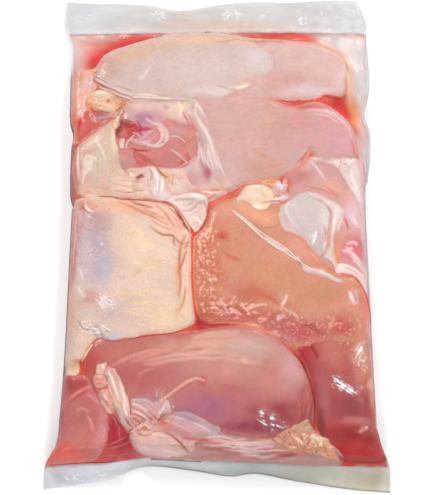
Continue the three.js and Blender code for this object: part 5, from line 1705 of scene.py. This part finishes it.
strand(
    "tendon_edge",
    [(15, 0), (20, -4), (28, -11), (37, -18.5), (46, -24.5), (54, -30), (60, -36), (67, -43), (76, -48),
        (90, -54)],
    1.5, 0.6, MEMBRANE, (250, 224, 208), seed=81, count=140, sheer=0.9,
)
strand(
    "tendon_fork", [(36, -20.5), (44, -25.5), (50, -30), (56, -34)], 3.6, 0.5, MEMBRANE, (240, 206, 198),
    seed=87, count=60, sheer=0.85,
)
patch(
    "roll_base",
    [(-86, -122), (-81, -124), (-76, -128), (-71, -136), (-68, -144), (-66, -152), (-64, -161), (-61, -169),
        (-63, -174), (-68, -172.5), (-73, -166), (-78, -161), (-84, -158), (-88, -151), (-91, -143),
        (-93.5, -136), (-92, -129), (-90, -124)],
    1.2, 3, SKIN, (232, 125, 123), centre=[(-86, -128), (-82, -140), (-76, -152), (-68, -166)], around=180,
    rings=18, seed=130, soft=0.6, edge=0.8,
    stains=[(-88, -133, 4, 3, 30, (190, 84, 72), 0.8), (-85, -141, 4, 2, 20, (196, 90, 78), 0.8)],
    relief=[lumpy(6, 0.4, 131)],
)
patch(
    "roll_left",
    [(-84, -141), (-88.5, -142), (-89.5, -146), (-87.5, -152), (-84, -157), (-80, -160.5), (-76, -158.5),
        (-75.5, -152), (-79, -146), (-81, -141.5)],
    2.2, 3.4, SKIN, (232, 174, 163), ragged_by=1.1, around=140, rings=28, seed=91, rim=(196, 92, 80),
    rim_reach=0.7, soft=0.4, edge=0.7,
    stains=[(-82, -155, 4, 5, 0, (253, 198, 181), 0.8), (-85, -146, 3, 4, 0, (215, 160, 157), 0.7)],
    relief=[lumpy(5, 0.4, 132)],
    creases=[
        (0.4, 0.6, [(-87, -144), (-84, -150), (-81, -156)], (210, 140, 122)),
        (0.4, 0.6, [(-83, -143), (-80, -149), (-77.5, -155)], (222, 156, 140)),
        (0, 0.7, [(-85.5, -145), (-82.5, -151)], (250, 226, 216)),
    ],
)
patch(
    "roll_middle",
    [(-89.5, -129.5), (-93, -131.5), (-94, -136), (-92, -140.5), (-88, -142.5), (-84, -140.5),
        (-81.5, -136), (-81.5, -131), (-85, -129.5)],
    2.4, 3.4, SKIN, (229, 166, 150), ragged_by=1.2, around=120, rings=26, seed=92, rim=(200, 104, 90),
    rim_reach=0.7, soft=0.4, edge=0.7, relief=[lumpy(4, 0.5, 133)],
    creases=[
        (0.5, 0.6, [(-92, -134), (-87, -135), (-83, -134)], (214, 136, 120)),
        (0.4, 0.6, [(-91, -138.5), (-87, -138), (-84.5, -139)], (214, 136, 118)),
        (0, 0.7, [(-90, -132), (-86, -131.5)], (252, 230, 222)),
    ],
)
patch(
    "roll_top",
    [(-87, -131.5), (-90.5, -130), (-91.5, -126), (-89, -122), (-86, -120.5), (-83.5, -122.5), (-83, -127),
        (-83.5, -130.5)],
    2.6, 3.2, SKIN, (228, 188, 173), ragged_by=1.2, around=110, rings=24, seed=93, rim=(196, 98, 84),
    rim_reach=0.7, soft=0.4, edge=0.7, relief=[lumpy(4, 0.4, 134)],
    creases=[
        (0.4, 0.6, [(-88, -123.5), (-87.5, -128)], (226, 176, 162)),
        (0, 0.7, [(-86.5, -122.5), (-85.5, -127)], (254, 236, 230)),
    ],
)
patch(
    "skin_roll",
    [(-84.5, -130), (-83.5, -125.5), (-80.5, -124.5), (-76, -127.5), (-71.5, -134), (-68.5, -142),
        (-66.5, -150), (-64.5, -158), (-62.5, -165), (-60.5, -171), (-64, -174.5), (-68, -172),
        (-72.5, -165), (-76, -158), (-79, -151), (-81, -145), (-82.5, -140), (-83.5, -135)],
    3.0, 4.5, SKIN, (226, 185, 174),
    centre=[(-80.5, -129), (-77, -138), (-73, -149), (-69, -160), (-65, -169)],
    ragged_by=1.0, around=240, rings=30, seed=82, rim=(206, 120, 104), rim_reach=0.7, soft=0.4, edge=0.7,
    stains=[(-68, -158, 4, 12, -20, (253, 226, 226), 0.8), (-78, -134, 4, 8, 30, (212, 161, 144), 0.7)],
    relief=[lumpy(7, 0.4, 84), folds(-66, 3.4, 0.35, 135, 0.4)],
    creases=[
        (0.45, 0.6, [(-81, -130), (-77.5, -138), (-74, -147), (-71, -156), (-67.5, -167)], (222, 158, 140)),
        (0.4, 0.6, [(-79, -128), (-74.5, -136), (-70.5, -145), (-67.5, -155), (-64, -167)],
            (226, 166, 148)),
        (0.35, 0.5, [(-76, -140), (-73, -150), (-70.5, -158)], (222, 160, 142)),
        (0.35, 0.5, [(-82, -135), (-79, -142), (-76, -150)], (218, 150, 132)),
        (0.35, 0.5, [(-72, -139), (-69.5, -147), (-67.5, -157)], (224, 164, 148)),
        (0, 0.7, [(-80, -133), (-76, -142), (-72.5, -152)], (252, 230, 220)),
        (0, 0.7, [(-73.5, -136), (-70, -146), (-67.5, -158)], (252, 232, 224)),
        (0, 0.7, [(-82, -128), (-79, -134), (-76.5, -141)], (252, 230, 220)),
        (0.5, 0.7, [(-67, -173), (-63.5, -171), (-61, -169)], (180, 84, 72)),
        (0.4, 0.6, [(-68.5, -163), (-66, -167), (-63.5, -170)], (204, 116, 100)),
    ],
)
patch(
    "lilac_web",
    [(-62, -149), (-57, -146), (-51, -143.5), (-45, -142), (-39, -144), (-34, -148), (-32, -154),
        (-36, -159), (-44, -158), (-52, -156), (-58, -153)],
    0.6, 3, MEMBRANE, (185, 125, 128), around=140, rings=28, seed=140, soft=2.2, sheer=0.85, edge=1.2,
    relief=[lumpy(5, 0.3, 141)],
    creases=[
        (0, 0.7, [(-46, -148), (-45, -144), (-43, -140.5)], (226, 180, 184)),
        (0, 0.6, [(-42, -148), (-40, -144), (-38, -142)], (226, 176, 180)),
        (0.3, 0.7, [(-50, -145), (-47, -149), (-46, -154)], (190, 120, 124)),
    ],
)
patch(
    "fan_folds",
    [(-65, -151), (-61, -148), (-55, -148), (-49, -150.5), (-44.5, -151.5), (-41, -149), (-37, -149.5),
        (-33.5, -153), (-32.5, -158), (-36, -161), (-40, -161), (-43, -164), (-45, -168), (-48, -172),
        (-52, -175.5), (-58, -176), (-62, -171.5), (-64.5, -163)],
    1.7, 3, PALE, (212, 165, 166), rings=42, seed=85, soft=0.7, edge=0.8,
    stains=[(-56, -152, 9, 4, -20, (187, 161, 160), 0.8), (-56, -170, 7, 5, 0, (197, 120, 120), 0.9),
        (-46, -165, 4, 6, -30, (224, 163, 157), 0.9), (-37, -155, 4, 4, 0, (220, 190, 188), 0.9),
        (-60, -162, 4, 6, 0, (240, 162, 141), 0.7)],
    relief=[folds(-38, 2.6, 0.3, 86, 0.5), lumpy(5, 0.3, 87)],
    creases=[
        (0.45, 0.5, [(-65, -151), (-60, -152.5), (-54, -157), (-48, -161.5), (-44, -165)], (204, 146, 138)),
        (0.45, 0.5, [(-65, -155), (-58, -158), (-52, -162.5), (-48.5, -168)], (200, 134, 122)),
        (0.5, 0.5, [(-64.5, -160), (-57, -162.5), (-51, -167)], (188, 108, 94)),
        (0.7, 0.6, [(-63.5, -163), (-58, -166.5), (-53, -171)], (176, 86, 72)),
        (0.6, 0.6, [(-62, -168), (-57, -170), (-52, -172)], (190, 100, 84)),
        (0.3, 0.45, [(-60, -149.5), (-54, -152.5), (-48, -157), (-44, -161)], (212, 168, 166)),
        (0.3, 0.45, [(-56, -149), (-50, -152.5), (-46, -156)], (214, 174, 174)),
        (0, 0.6, [(-64, -153), (-58, -154.5), (-51, -159.5)], (238, 216, 212)),
        (0, 0.6, [(-64, -158), (-57, -160.5), (-50.5, -165)], (240, 214, 204)),
        (0, 0.7, [(-45, -163.5), (-41.5, -158), (-38, -153)], (240, 222, 218)),
        (0.5, 0.6, [(-36, -149.5), (-34.5, -154), (-33.5, -158.5)], (160, 84, 88)),
        (0.5, 0.6, [(-60, -173), (-55, -170), (-50, -172)], (196, 110, 88)),
        (0, 0.6, [(-59, -171.5), (-55, -168), (-51, -169.5)], (246, 208, 180)),
        *squiggles(-55, -170, 6, 4, 10, 145, (240, 204, 178)),
        *squiggles(-47, -166, 4, 5, 7, 146, (196, 96, 80)),
    ],
)
strand(
    "tail_tendon",
    [(-43, -152.5), (-40, -149.5), (-35, -145.5), (-29, -141), (-23, -136.8), (-16, -134), (-9, -136)],
    4.4, 0.8, SKIN, (226, 166, 146), seed=89, count=60, taper=0.25, sheer=0.9,
)
for k, line in enumerate([
    [(-46, -148), (-45, -144), (-43, -141)],
    [(-44, -148), (-41, -144), (-39, -142)],
]):
    strand(f"wisp_{k + 1}", line, 1.2, 0.4, MEMBRANE, (222, 166, 170), seed=120 + k, count=30, sheer=0.55)
patch(
    "skin_apron",
    [(-64, -173), (-58, -172), (-52, -173.5), (-46, -170), (-44, -165), (-40, -161), (-34, -159),
        (-28, -157.5), (-20, -159.5), (-12, -163), (-4, -167), (3, -171), (0, -175.5), (-10, -178),
        (-16, -182), (-18, -188), (-30, -190.5), (-48, -190), (-57, -187.5), (-61, -182), (-60, -178)],
    0.9, 4, PALE, (216, 172, 166), centre=(-38, -178), around=230, rings=44, seed=90, soft=0.9, edge=0.9,
    stains=[(-44, -186, 16, 3.5, -4, (254, 213, 211), 0.85), (-38, -168, 9, 6, -20, (191, 106, 97), 0.9),
        (-22, -164, 14, 4, -20, (191, 161, 168), 0.95), (-2, -171, 10, 3.5, -25, (198, 165, 170), 0.9),
        (-24, -173, 10, 4, -30, (195, 133, 135), 0.85), (-52, -178, 9, 4, 0, (245, 188, 175), 0.7),
        (-44, -188, 5, 2, 0, (223, 184, 192), 0.7), (-10, -175, 8, 3, -10, (174, 134, 128), 0.7)],
    relief=[lumpy(7, 0.3, 92)],
    creases=[
        (0.5, 0.7, [(-39, -173.5), (-33, -177), (-28, -181), (-23, -186), (-20, -188.5)], (176, 76, 70)),
        (0.4, 0.7, [(-34, -161), (-24, -164), (-12, -169), (-4, -174)], (224, 200, 206)),
        (0.3, 0.7, [(-40, -164), (-30, -168), (-20, -172)], (240, 186, 174)),
        (0.3, 0.7, [(-58, -178), (-48, -177.5), (-38, -179)], (226, 182, 168)),
        (0.3, 0.7, [(-56, -183), (-46, -183.5), (-34, -184)], (226, 190, 180)),
        (0, 0.8, [(-56, -175.5), (-46, -175), (-38, -177)], (250, 226, 212)),
        (0.5, 0.7, [(-60, -174.5), (-54, -176), (-48, -175)], (206, 120, 100)),
        (0.4, 0.8, [(-27, -178), (-16, -179), (-6, -178.5)], (214, 110, 104)),
        (0.3, 0.7, [(-44, -171), (-38, -169), (-34, -165), (-31, -160)], (220, 142, 130)),
        (0.4, 0.6, [(-52, -176), (-46, -173), (-41, -173)], (206, 130, 116)),
        *bundle([(-58, -176), (-48, -174), (-38, -176), (-26, -184)],
            [(-58, -186), (-46, -188), (-34, -188.5), (-22, -188)], 6, 0.12, 0.6, 715, (228, 186, 176)),
        *bundle([(-34, -160), (-22, -162), (-8, -168)], [(-36, -170), (-24, -172), (-8, -176)], 4, 0.12,
            0.6, 716, (206, 158, 164)),
    ],
)
patch(
    "tail_fat",
    [(42, -177), (48, -172.5), (53, -171), (57, -173), (63, -172.5), (69, -173), (76, -175.5), (82, -179),
        (86, -184), (89, -189.5), (91, -193), (84, -192.5), (76, -190.5), (66, -188), (56, -187),
        (48, -183), (42, -180)],
    1.6, 3, TORN, (234, 163, 144), rings=40, seed=93, edge=0.7, ragged_by=1.3,
    stains=[(54, -180, 12, 4, -10, (213, 152, 141), 0.85), (78, -183, 7, 5, 0, (255, 237, 199), 0.7),
        (84, -190, 5, 2.5, 0, (255, 167, 120), 0.8), (66, -177, 6, 3, 0, (214, 195, 180), 0.7)],
    relief=[lumpy(3.5, 0.9, 95)],
    creases=[
        (0.8, 0.7, [(52, -172.5), (55, -178), (57, -184)], (216, 130, 96)),
        (0.8, 0.7, [(60, -175), (63.5, -181), (65, -186)], (216, 124, 90)),
        (0.8, 0.7, [(68, -176), (66.5, -182), (62, -186)], (206, 110, 80)),
        (0.6, 0.7, [(72, -179), (74, -184), (73, -188)], (220, 140, 100)),
        (0.6, 0.7, [(78, -180), (79, -186), (82, -190)], (226, 150, 110)),
        (0.5, 0.6, [(46, -177), (50, -181), (56, -184)], (222, 140, 110)),
        (0, 0.8, [(62, -175), (70, -177), (78, -180)], (254, 228, 196)),
        (0, 0.8, [(54, -175), (60, -180), (66, -184)], (252, 220, 190)),
    ],
    marks=[(66, -181, 34, 14, 0, 0.8)],
)
patch(
    "yellow_fat",
    [(53.5, -171.5), (55.5, -168.5), (60, -167.6), (62.5, -165.3), (65, -163.8), (67.6, -164.1),
        (69.4, -166.6), (69.8, -170), (68, -173), (62, -174), (57, -173.6)],
    1.8, 3, FAT, (206, 161, 139), around=90, rings=24, seed=94, edge=0.7,
    creases=[(0.4, 0.6, [(60, -169), (64, -171), (66, -168)], (214, 180, 130))],
)
patch(
    "left_fat",
    [(-116, -118.5), (-110, -117.5), (-105.5, -119.5), (-103.5, -124), (-105, -129), (-110, -131),
        (-116, -128.5)],
    1.2, 3, FAT, (242, 212, 194), around=100, rings=26, seed=96, rim=(240, 160, 120),
    rim_reach=0.9, soft=0.6,
    stains=[(-106, -124, 2.5, 5, 0, (230, 183, 142), 0.8), (-112, -119, 5, 2, 0, (246, 175, 145), 0.8)],
    relief=[lumpy(5, 0.3, 97)],
)
strand(
    "orange_streak", [(-103, -119.5), (-99.5, -114), (-96, -108)], 3.4, 0.7, FAT, (244, 170, 110),
    seed=98, count=40, sheer=0.9,
)
strand(
    "white_streak", [(-101.5, -118), (-98, -112), (-94.5, -106.5)], 1.5, 0.6, FAT, (252, 224, 196),
    seed=102, count=40, sheer=0.9,
)
for k, line in enumerate([
    [(-89, -187), (-78, -182.5), (-68, -180), (-62, -179)],
    [(-98, -193), (-84, -188.5), (-68, -186.5)],
    [(-84, -183), (-75, -178), (-68, -175)],
]):
    strand(
        f"corner_fold_{k + 1}", line, 1.4, 0.5, MEMBRANE, (218, 120, 130), seed=110 + k, count=50,
        sheer=0.75,
    )

# Thin dark juice lines in the grooves between pieces and along the seams, darkened as painted shade in the
# grooves
for k, (line, width, tone) in enumerate([
    ([(-45, 10.4), (-39, 8), (-33.5, 3.5), (-29, -3), (-25.5, -10), (-22, -16.5)], 3.0, (176, 46, 42)),
    ([(-34, 3.2), (-29.6, -3.4), (-26, -10), (-22.6, -15)], 1.1, (126, 26, 28)),
    ([(-94, 15.3), (-85, 15.2), (-77, 13.6), (-70, 12.8), (-62, 12.3), (-52, 11.3), (-46, 10.5)], 1.2,
        (146, 74, 58)),
    ([(-68, -103.6), (-58, -100.8), (-46, -99.4), (-34, -98), (-25, -94.5), (-20, -91.5)], 1.5,
        (166, 58, 52)),
    ([(-92, -102.4), (-84, -104.4), (-76, -104.8), (-68, -103.6)], 1.2, (176, 92, 92)),
    ([(57, -112), (62, -119), (66.3, -127), (69.8, -137), (72, -148), (72.2, -158), (71, -167)], 2.2,
        (128, 44, 46)),
    ([(97, -50.8), (104, -52.6), (109, -56.2), (113.5, -62), (117, -70), (119, -80), (119.4, -88)], 1.8,
        (206, 66, 56)),
    ([(-20, -18), (-20.4, -30), (-20, -44), (-19.6, -58), (-18.6, -72), (-17, -84)], 2.0, (222, 90, 66)),
    ([(-16, -90), (-8, -91.2), (4, -91), (14, -92)], 1.6, (150, 36, 38)),
    ([(43, 103), (52, 101.6), (62, 101), (72, 101.4), (80, 102.4)], 0.9, (176, 96, 84)),
    ([(-126, -194.6), (-104, -193.6), (-84, -192.4), (-66, -190.4), (-57, -189.4)], 1.2, (150, 56, 62)),
    ([(-72, 179.2), (-62, 179.1), (-52, 178.8), (-42, 178.6)], 0.9, (130, 70, 54)),
    ([(6, 178.3), (14, 178.5), (22, 178.7)], 1.0, (176, 92, 76)),
]):
    strand(
        f"juice_shade_line_{k + 1}", line, width, 0.15, JUICE, tone, seed=160 + k, count=70,
        sheer=0.85,
    )

# The film over all of it

film_map = stretch(np.maximum(top_map + FILM_GAP, rim_map - DITCH), rim_map)
low_film_map = np.maximum(-stretch(FILM_GAP - under_map, -rim_map), FILM_FLOOR)


def crinkles(x, y, seed, count, height):
    """Short sharp creases in the film, scattered by a seeded draw."""
    draw = np.random.default_rng(seed)
    total = np.zeros(x.shape)
    for _ in range(count):
        cx, cy = draw.uniform(-125, 125), draw.uniform(-205, 205)
        turn, long, wide = draw.uniform(0, math.pi), draw.uniform(5, 16), draw.uniform(0.7, 1.4)
        u = (x - cx) * math.cos(turn) + (y - cy) * math.sin(turn)
        v = -(x - cx) * math.sin(turn) + (y - cy) * math.cos(turn) + 0.02 * u * u * draw.uniform(-1, 1)
        total += height * draw.uniform(0.4, 1) * np.exp(-((u / long) ** 2) - (v / wide) ** 2)
    return total


HAZE = [
    (-122, 130, 5, 42, 0, 0.25), (125, 135, 8, 36, 0, 0.45), (123, 60, 5, 50, 0, 0.3),
    (112, 168, 20, 10, -30, 0.3), (-118, -95, 5, 34, 0, 0.2), (119, -30, 5, 50, 0, 0.2),
    (-108, 175, 24, 4, 0, 0.25), (100, 176, 24, 5, -10, 0.35),
]
FILM_STAINS = [
    (0, 197, 140, 16, 0, (222, 218, 216), 1.0), (0, 186, 70, 8, 0, (235, 212, 198), 0.9),
    (-34, 196, 14, 12, 0, (226, 210, 202), 0.8), (-112, 204, 26, 12, 0, (226, 227, 232), 0.8),
    (-104, -203, 44, 10, 0, (240, 240, 248), 1.0), (-20, -197, 34, 6, 0, (208, 210, 208), 1.0),
    (30, -198, 34, 7, 0, (196, 202, 198), 1.0), (66, -202, 26, 8, 0, (214, 212, 200), 1.0),
    (108, -206, 28, 10, 0, (234, 226, 206), 1.0), (118, -203, 10, 5, 0, (222, 206, 180), 0.8),
]
FILM_TONE = (222, 222, 224)
LEFT_LINE = (120, 46, 48)
HEM_LINE = (104, 106, 102)
RIGHT_LINE = (196, 184, 182)

# Rows of points over the two fins, the veil of the film, the strength of the lines at its edges, and of the
# gloss and painted glints over the fins
LOW_FIN_ROWS = 13
HIGH_FIN_ROWS = 21
FIN_VEIL = 0.66
BODY_VEIL = 0.02
SEAM_VEIL = 0.15
CORNER_VEIL = 0.14
EDGE_VEIL = 0.7
MOST_VEIL = 0.92
FIN_GLOSS_AND_PAINTED_GLINT = 0.1
SIDE_LINE = 0.85
HEM = 0.8
# Spots of crinkled film (x, y, half sizes, turn, strength) that set its gloss and where white streaks are
# painted on it as glints
GLOSS_AND_PAINTED_GLINTS = [
    (97, -139, 14, 7, -20, 1.0), (108, -116, 6, 13, -20, 1.0), (-94, -37, 6, 5, 0, 0.55),
    (-84, -74, 12, 5, -45, 0.62), (-94, -95, 12, 5, 0, 0.7), (37, -164, 9, 7, -30, 1.0),
    (46, -170, 8, 4, 0, 0.5), (-8, -60, 9, 30, 0, 0.25), (12, -80, 14, 6, 0, 0.5),
    (46, -74, 6, 9, -20, 0.5), (108, -66, 4, 9, 0, 0.4), (92, -84, 10, 12, 0, 0.3),
    (50, -102, 14, 8, -30, 0.4), (76, -20, 4, 7, 20, 0.6), (-52, 200, 10, 8, 0, 0.5),
    (12, 200, 9, 9, 0, 0.6), (38, 198, 5, 4, 0, 0.5), (75, 197, 6, 12, 0, 0.6), (-112, 200, 12, 8, 0, 0.35),
    (-108, -203, 12, 4, 0, 0.6), (-88, -201, 8, 3, 0, 0.5), (-98, -12, 6, 10, 0, 0.3),
    (110, -172, 8, 6, 0, 0.5), (-90, -66, 4, 3, 0, 0.6), (-90, -28, 3, 3, 0, 0.6),
    (-94, -20, 4, 8, 20, 0.5), (-60, -160, 14, 12, 0, 0.2), (103, -72, 3, 6, -10, 0.5),
    (104, 44, 8, 5, 0, 0.5), (84, -16, 3, 8, 10, 0.5), (-50, 26, 10, 8, 0, 0.35), (-22, 8, 8, 8, 0, 0.35),
    (50, 160, 30, 3, 0, 0.4), (92, 90, 14, 3, -25, 0.5),
]
# Spots where the streaks of the painted glints run steeply
STEEP_PAINTED_GLINTS = [
    (108, -116, 12, 18, 0, 1.0), (10, 198, 24, 14, 0, 1.0), (75, 196, 20, 14, 0, 1.0),
    (76, -20, 9, 12, 0, 1.0), (-94, -20, 10, 22, 0, 0.8), (50, -74, 12, 14, 0, 1.0),
    (108, -66, 10, 14, 0, 0.8),
]


def film_sheet(name, heights, lift, columns, rows, seed):
    """One side of the bag, with its half of both fins."""
    top = lift > 0
    body = 1 + np.linspace(0, 1, rows)
    low_fin, high_fin = np.linspace(0, 1, LOW_FIN_ROWS), 2 + np.linspace(0, 1, HIGH_FIN_ROWS)
    along = np.concatenate([low_fin[:-1], body[:-1], high_fin])
    even = np.linspace(0, 1, columns)
    across = 0.65 * even + 0.175 * (1 - np.cos(math.pi * even))
    guess = -HALF_WIDTH + 2 * HALF_WIDTH * across
    lines = np.stack([bottom_edge(guess), bottom_seam_line(guess), top_seam_line(guess), top_edge(guess)])
    part = np.minimum(along.astype(int), 2)
    share = (along - part)[:, None]
    y = lines[part] * (1 - share) + lines[part + 1] * share
    left, right = left_edge(y), right_edge(y)
    x = left + (right - left) * across[None, :]
    from_seam = np.minimum(np.abs(y - bottom_seam_line(x)), np.abs(top_seam_line(x) - y))
    from_side = np.minimum(x - left, right - x)
    from_end = np.minimum(y - bottom_edge(x), top_edge(x) - y)
    in_fin = (y < bottom_seam_line(x)) | (y > top_seam_line(x))
    gathers = np.sin(x / 3.1 + 1.8 * np.sin(x / 21)) * np.exp(-from_seam / 9)
    fade = np.clip(from_side / 4, 0, 1)
    z = np.where(in_fin, seam_surface(x, y), read(heights, x, y)) + lift
    z = z + 0.5 * fade * in_fin * (noise(x, y, 16, 5) + 0.5 * noise(x, y, 6, 6))
    if top:
        z = z + fade * (0.5 * gathers + crinkles(x, y, seed, 90, 0.3))
    z = np.maximum(z, 0.12 if top else 0.05)
    body_veil = BODY_VEIL + 0.02 * np.abs(noise(x, y, 17, 8))
    veil = np.where(in_fin, FIN_VEIL + 0.1 * noise(x, y, 24, 7), body_veil)
    veil = veil + SEAM_VEIL * bell(from_seam - 2.5, 2.2) * in_fin
    veil = veil + CORNER_VEIL * (y < bottom_seam_line(x)) * (1 - smooth_share(x, -60, -20))
    line = bell(np.maximum(from_side - 1.2 * (1 - in_fin), 0), 0.9) + 0.6 * in_fin * bell(from_end, 0.8)
    veil = np.clip(veil + patches(x, y, HAZE) + EDGE_VEIL * line, 0, MOST_VEIL)
    # Gloss and painted glints: faint over the fins, strong at the listed spots
    crisp = np.clip(FIN_GLOSS_AND_PAINTED_GLINT * in_fin + patches(x, y, GLOSS_AND_PAINTED_GLINTS), 0, 1)
    steep = np.clip(patches(x, y, STEEP_PAINTED_GLINTS), 0, 1)
    points = as_points(x, y, z)
    faces = grid_faces(*x.shape, flip=not top)
    tint = paint(points[:, 0], points[:, 1], FILM_TONE, FILM_STAINS, 62)
    fade = np.where(x < 0, 1 - smooth_share(y, 120, 150), 0.75)
    line = SIDE_LINE * fade * bell(np.maximum(from_side - 1.2, 0), 0.65) * (1 - 0.8 * in_fin)
    side_tone = np.where(points[:, :1] < 0, seen(LEFT_LINE), seen(RIGHT_LINE))
    tint = mixed(tint, side_tone, line.ravel())
    hem = HEM * in_fin * bell(y - bottom_edge(x), 0.8) * smooth_share(x, -70, -30)
    tint = mixed(tint, seen(HEM_LINE), hem.ravel())
    piece = mesh_object(
        name, points, faces, FILM,
        veil=veil.ravel(), crisp=crisp.ravel(), steep=steep.ravel(), tint=tint,
    )
    return piece


film_top = film_sheet("film_top", film_map, lift=0.2, columns=176, rows=250, seed=3)
film_sheet("film_under", low_film_map, lift=-0.1, columns=96, rows=140, seed=4)

under_tint = np.broadcast_to(seen(UNDER_JUICE), XX.shape + (3,))
juice_sheet("juice_under", low_film_map, under_map, -1, under_tint)
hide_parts("chicken_bag")

# Floor, lights and camera

CAMERA_AT = (0.0, -0.3124, 0.8133)
CAMERA_AIM = (0.0, -0.0215, 0.014)
LENS = 76.84
LIGHT_AIM = (0, 0, 0.01)

# Name, place, size and power
LIGHTS = [
    ("key", (-0.7, 0.9, 1.3), 0.45, 13),
    ("front", (-0.15, -1.15, 0.9), 0.5, 5),
    ("fill", (0.9, -0.2, 1.3), 0.6, 8),
    ("back", (0.5, 1.2, 1.0), 0.35, 8),
]


def facing(place, aim):
    """The turn of a lamp or camera that looks from a place at its aim."""
    return (Vector(aim) - Vector(place)).to_track_quat("-Z", "Y").to_euler()


def plain_floor():
    s = Shader("white_floor")
    shade = s.mix(s.noise(s.mapped(), 3, 2), (*rgb((250, 250, 250)), 1), (*rgb((253, 253, 253)), 1))
    finish = s.finish(s.add("BsdfPrincipled", {"Base Color": shade, "Roughness": 0.9}).outputs[0])
    bpy.ops.mesh.primitive_plane_add(size=6)
    floor = bpy.context.object
    floor.name = "floor"
    floor.data.materials.append(finish)


def area_light(name, place, size, power):
    data = bpy.data.lights.new(name, "AREA")
    data.size = size
    data.energy = power
    lamp = bpy.data.objects.new(name, data)
    bpy.context.scene.collection.objects.link(lamp)
    lamp.location = place
    lamp.rotation_euler = facing(place, LIGHT_AIM)


plain_floor()
for light in LIGHTS:
    area_light(*light)
world = bpy.data.worlds.new("studio")
world.use_nodes = True
sky = world.node_tree.nodes["Background"].inputs
sky["Color"].default_value = (1, 1, 1, 1)
sky["Strength"].default_value = 0.5
bpy.context.scene.world = world

camera = bpy.data.objects.new("camera", bpy.data.cameras.new("camera"))
bpy.context.scene.collection.objects.link(camera)
camera.location = CAMERA_AT
camera.rotation_euler = facing(CAMERA_AT, CAMERA_AIM)
camera.data.lens = LENS
camera.data.sensor_width = 36
bpy.context.scene.camera = camera
bpy.context.scene.view_settings.view_transform = "Standard"
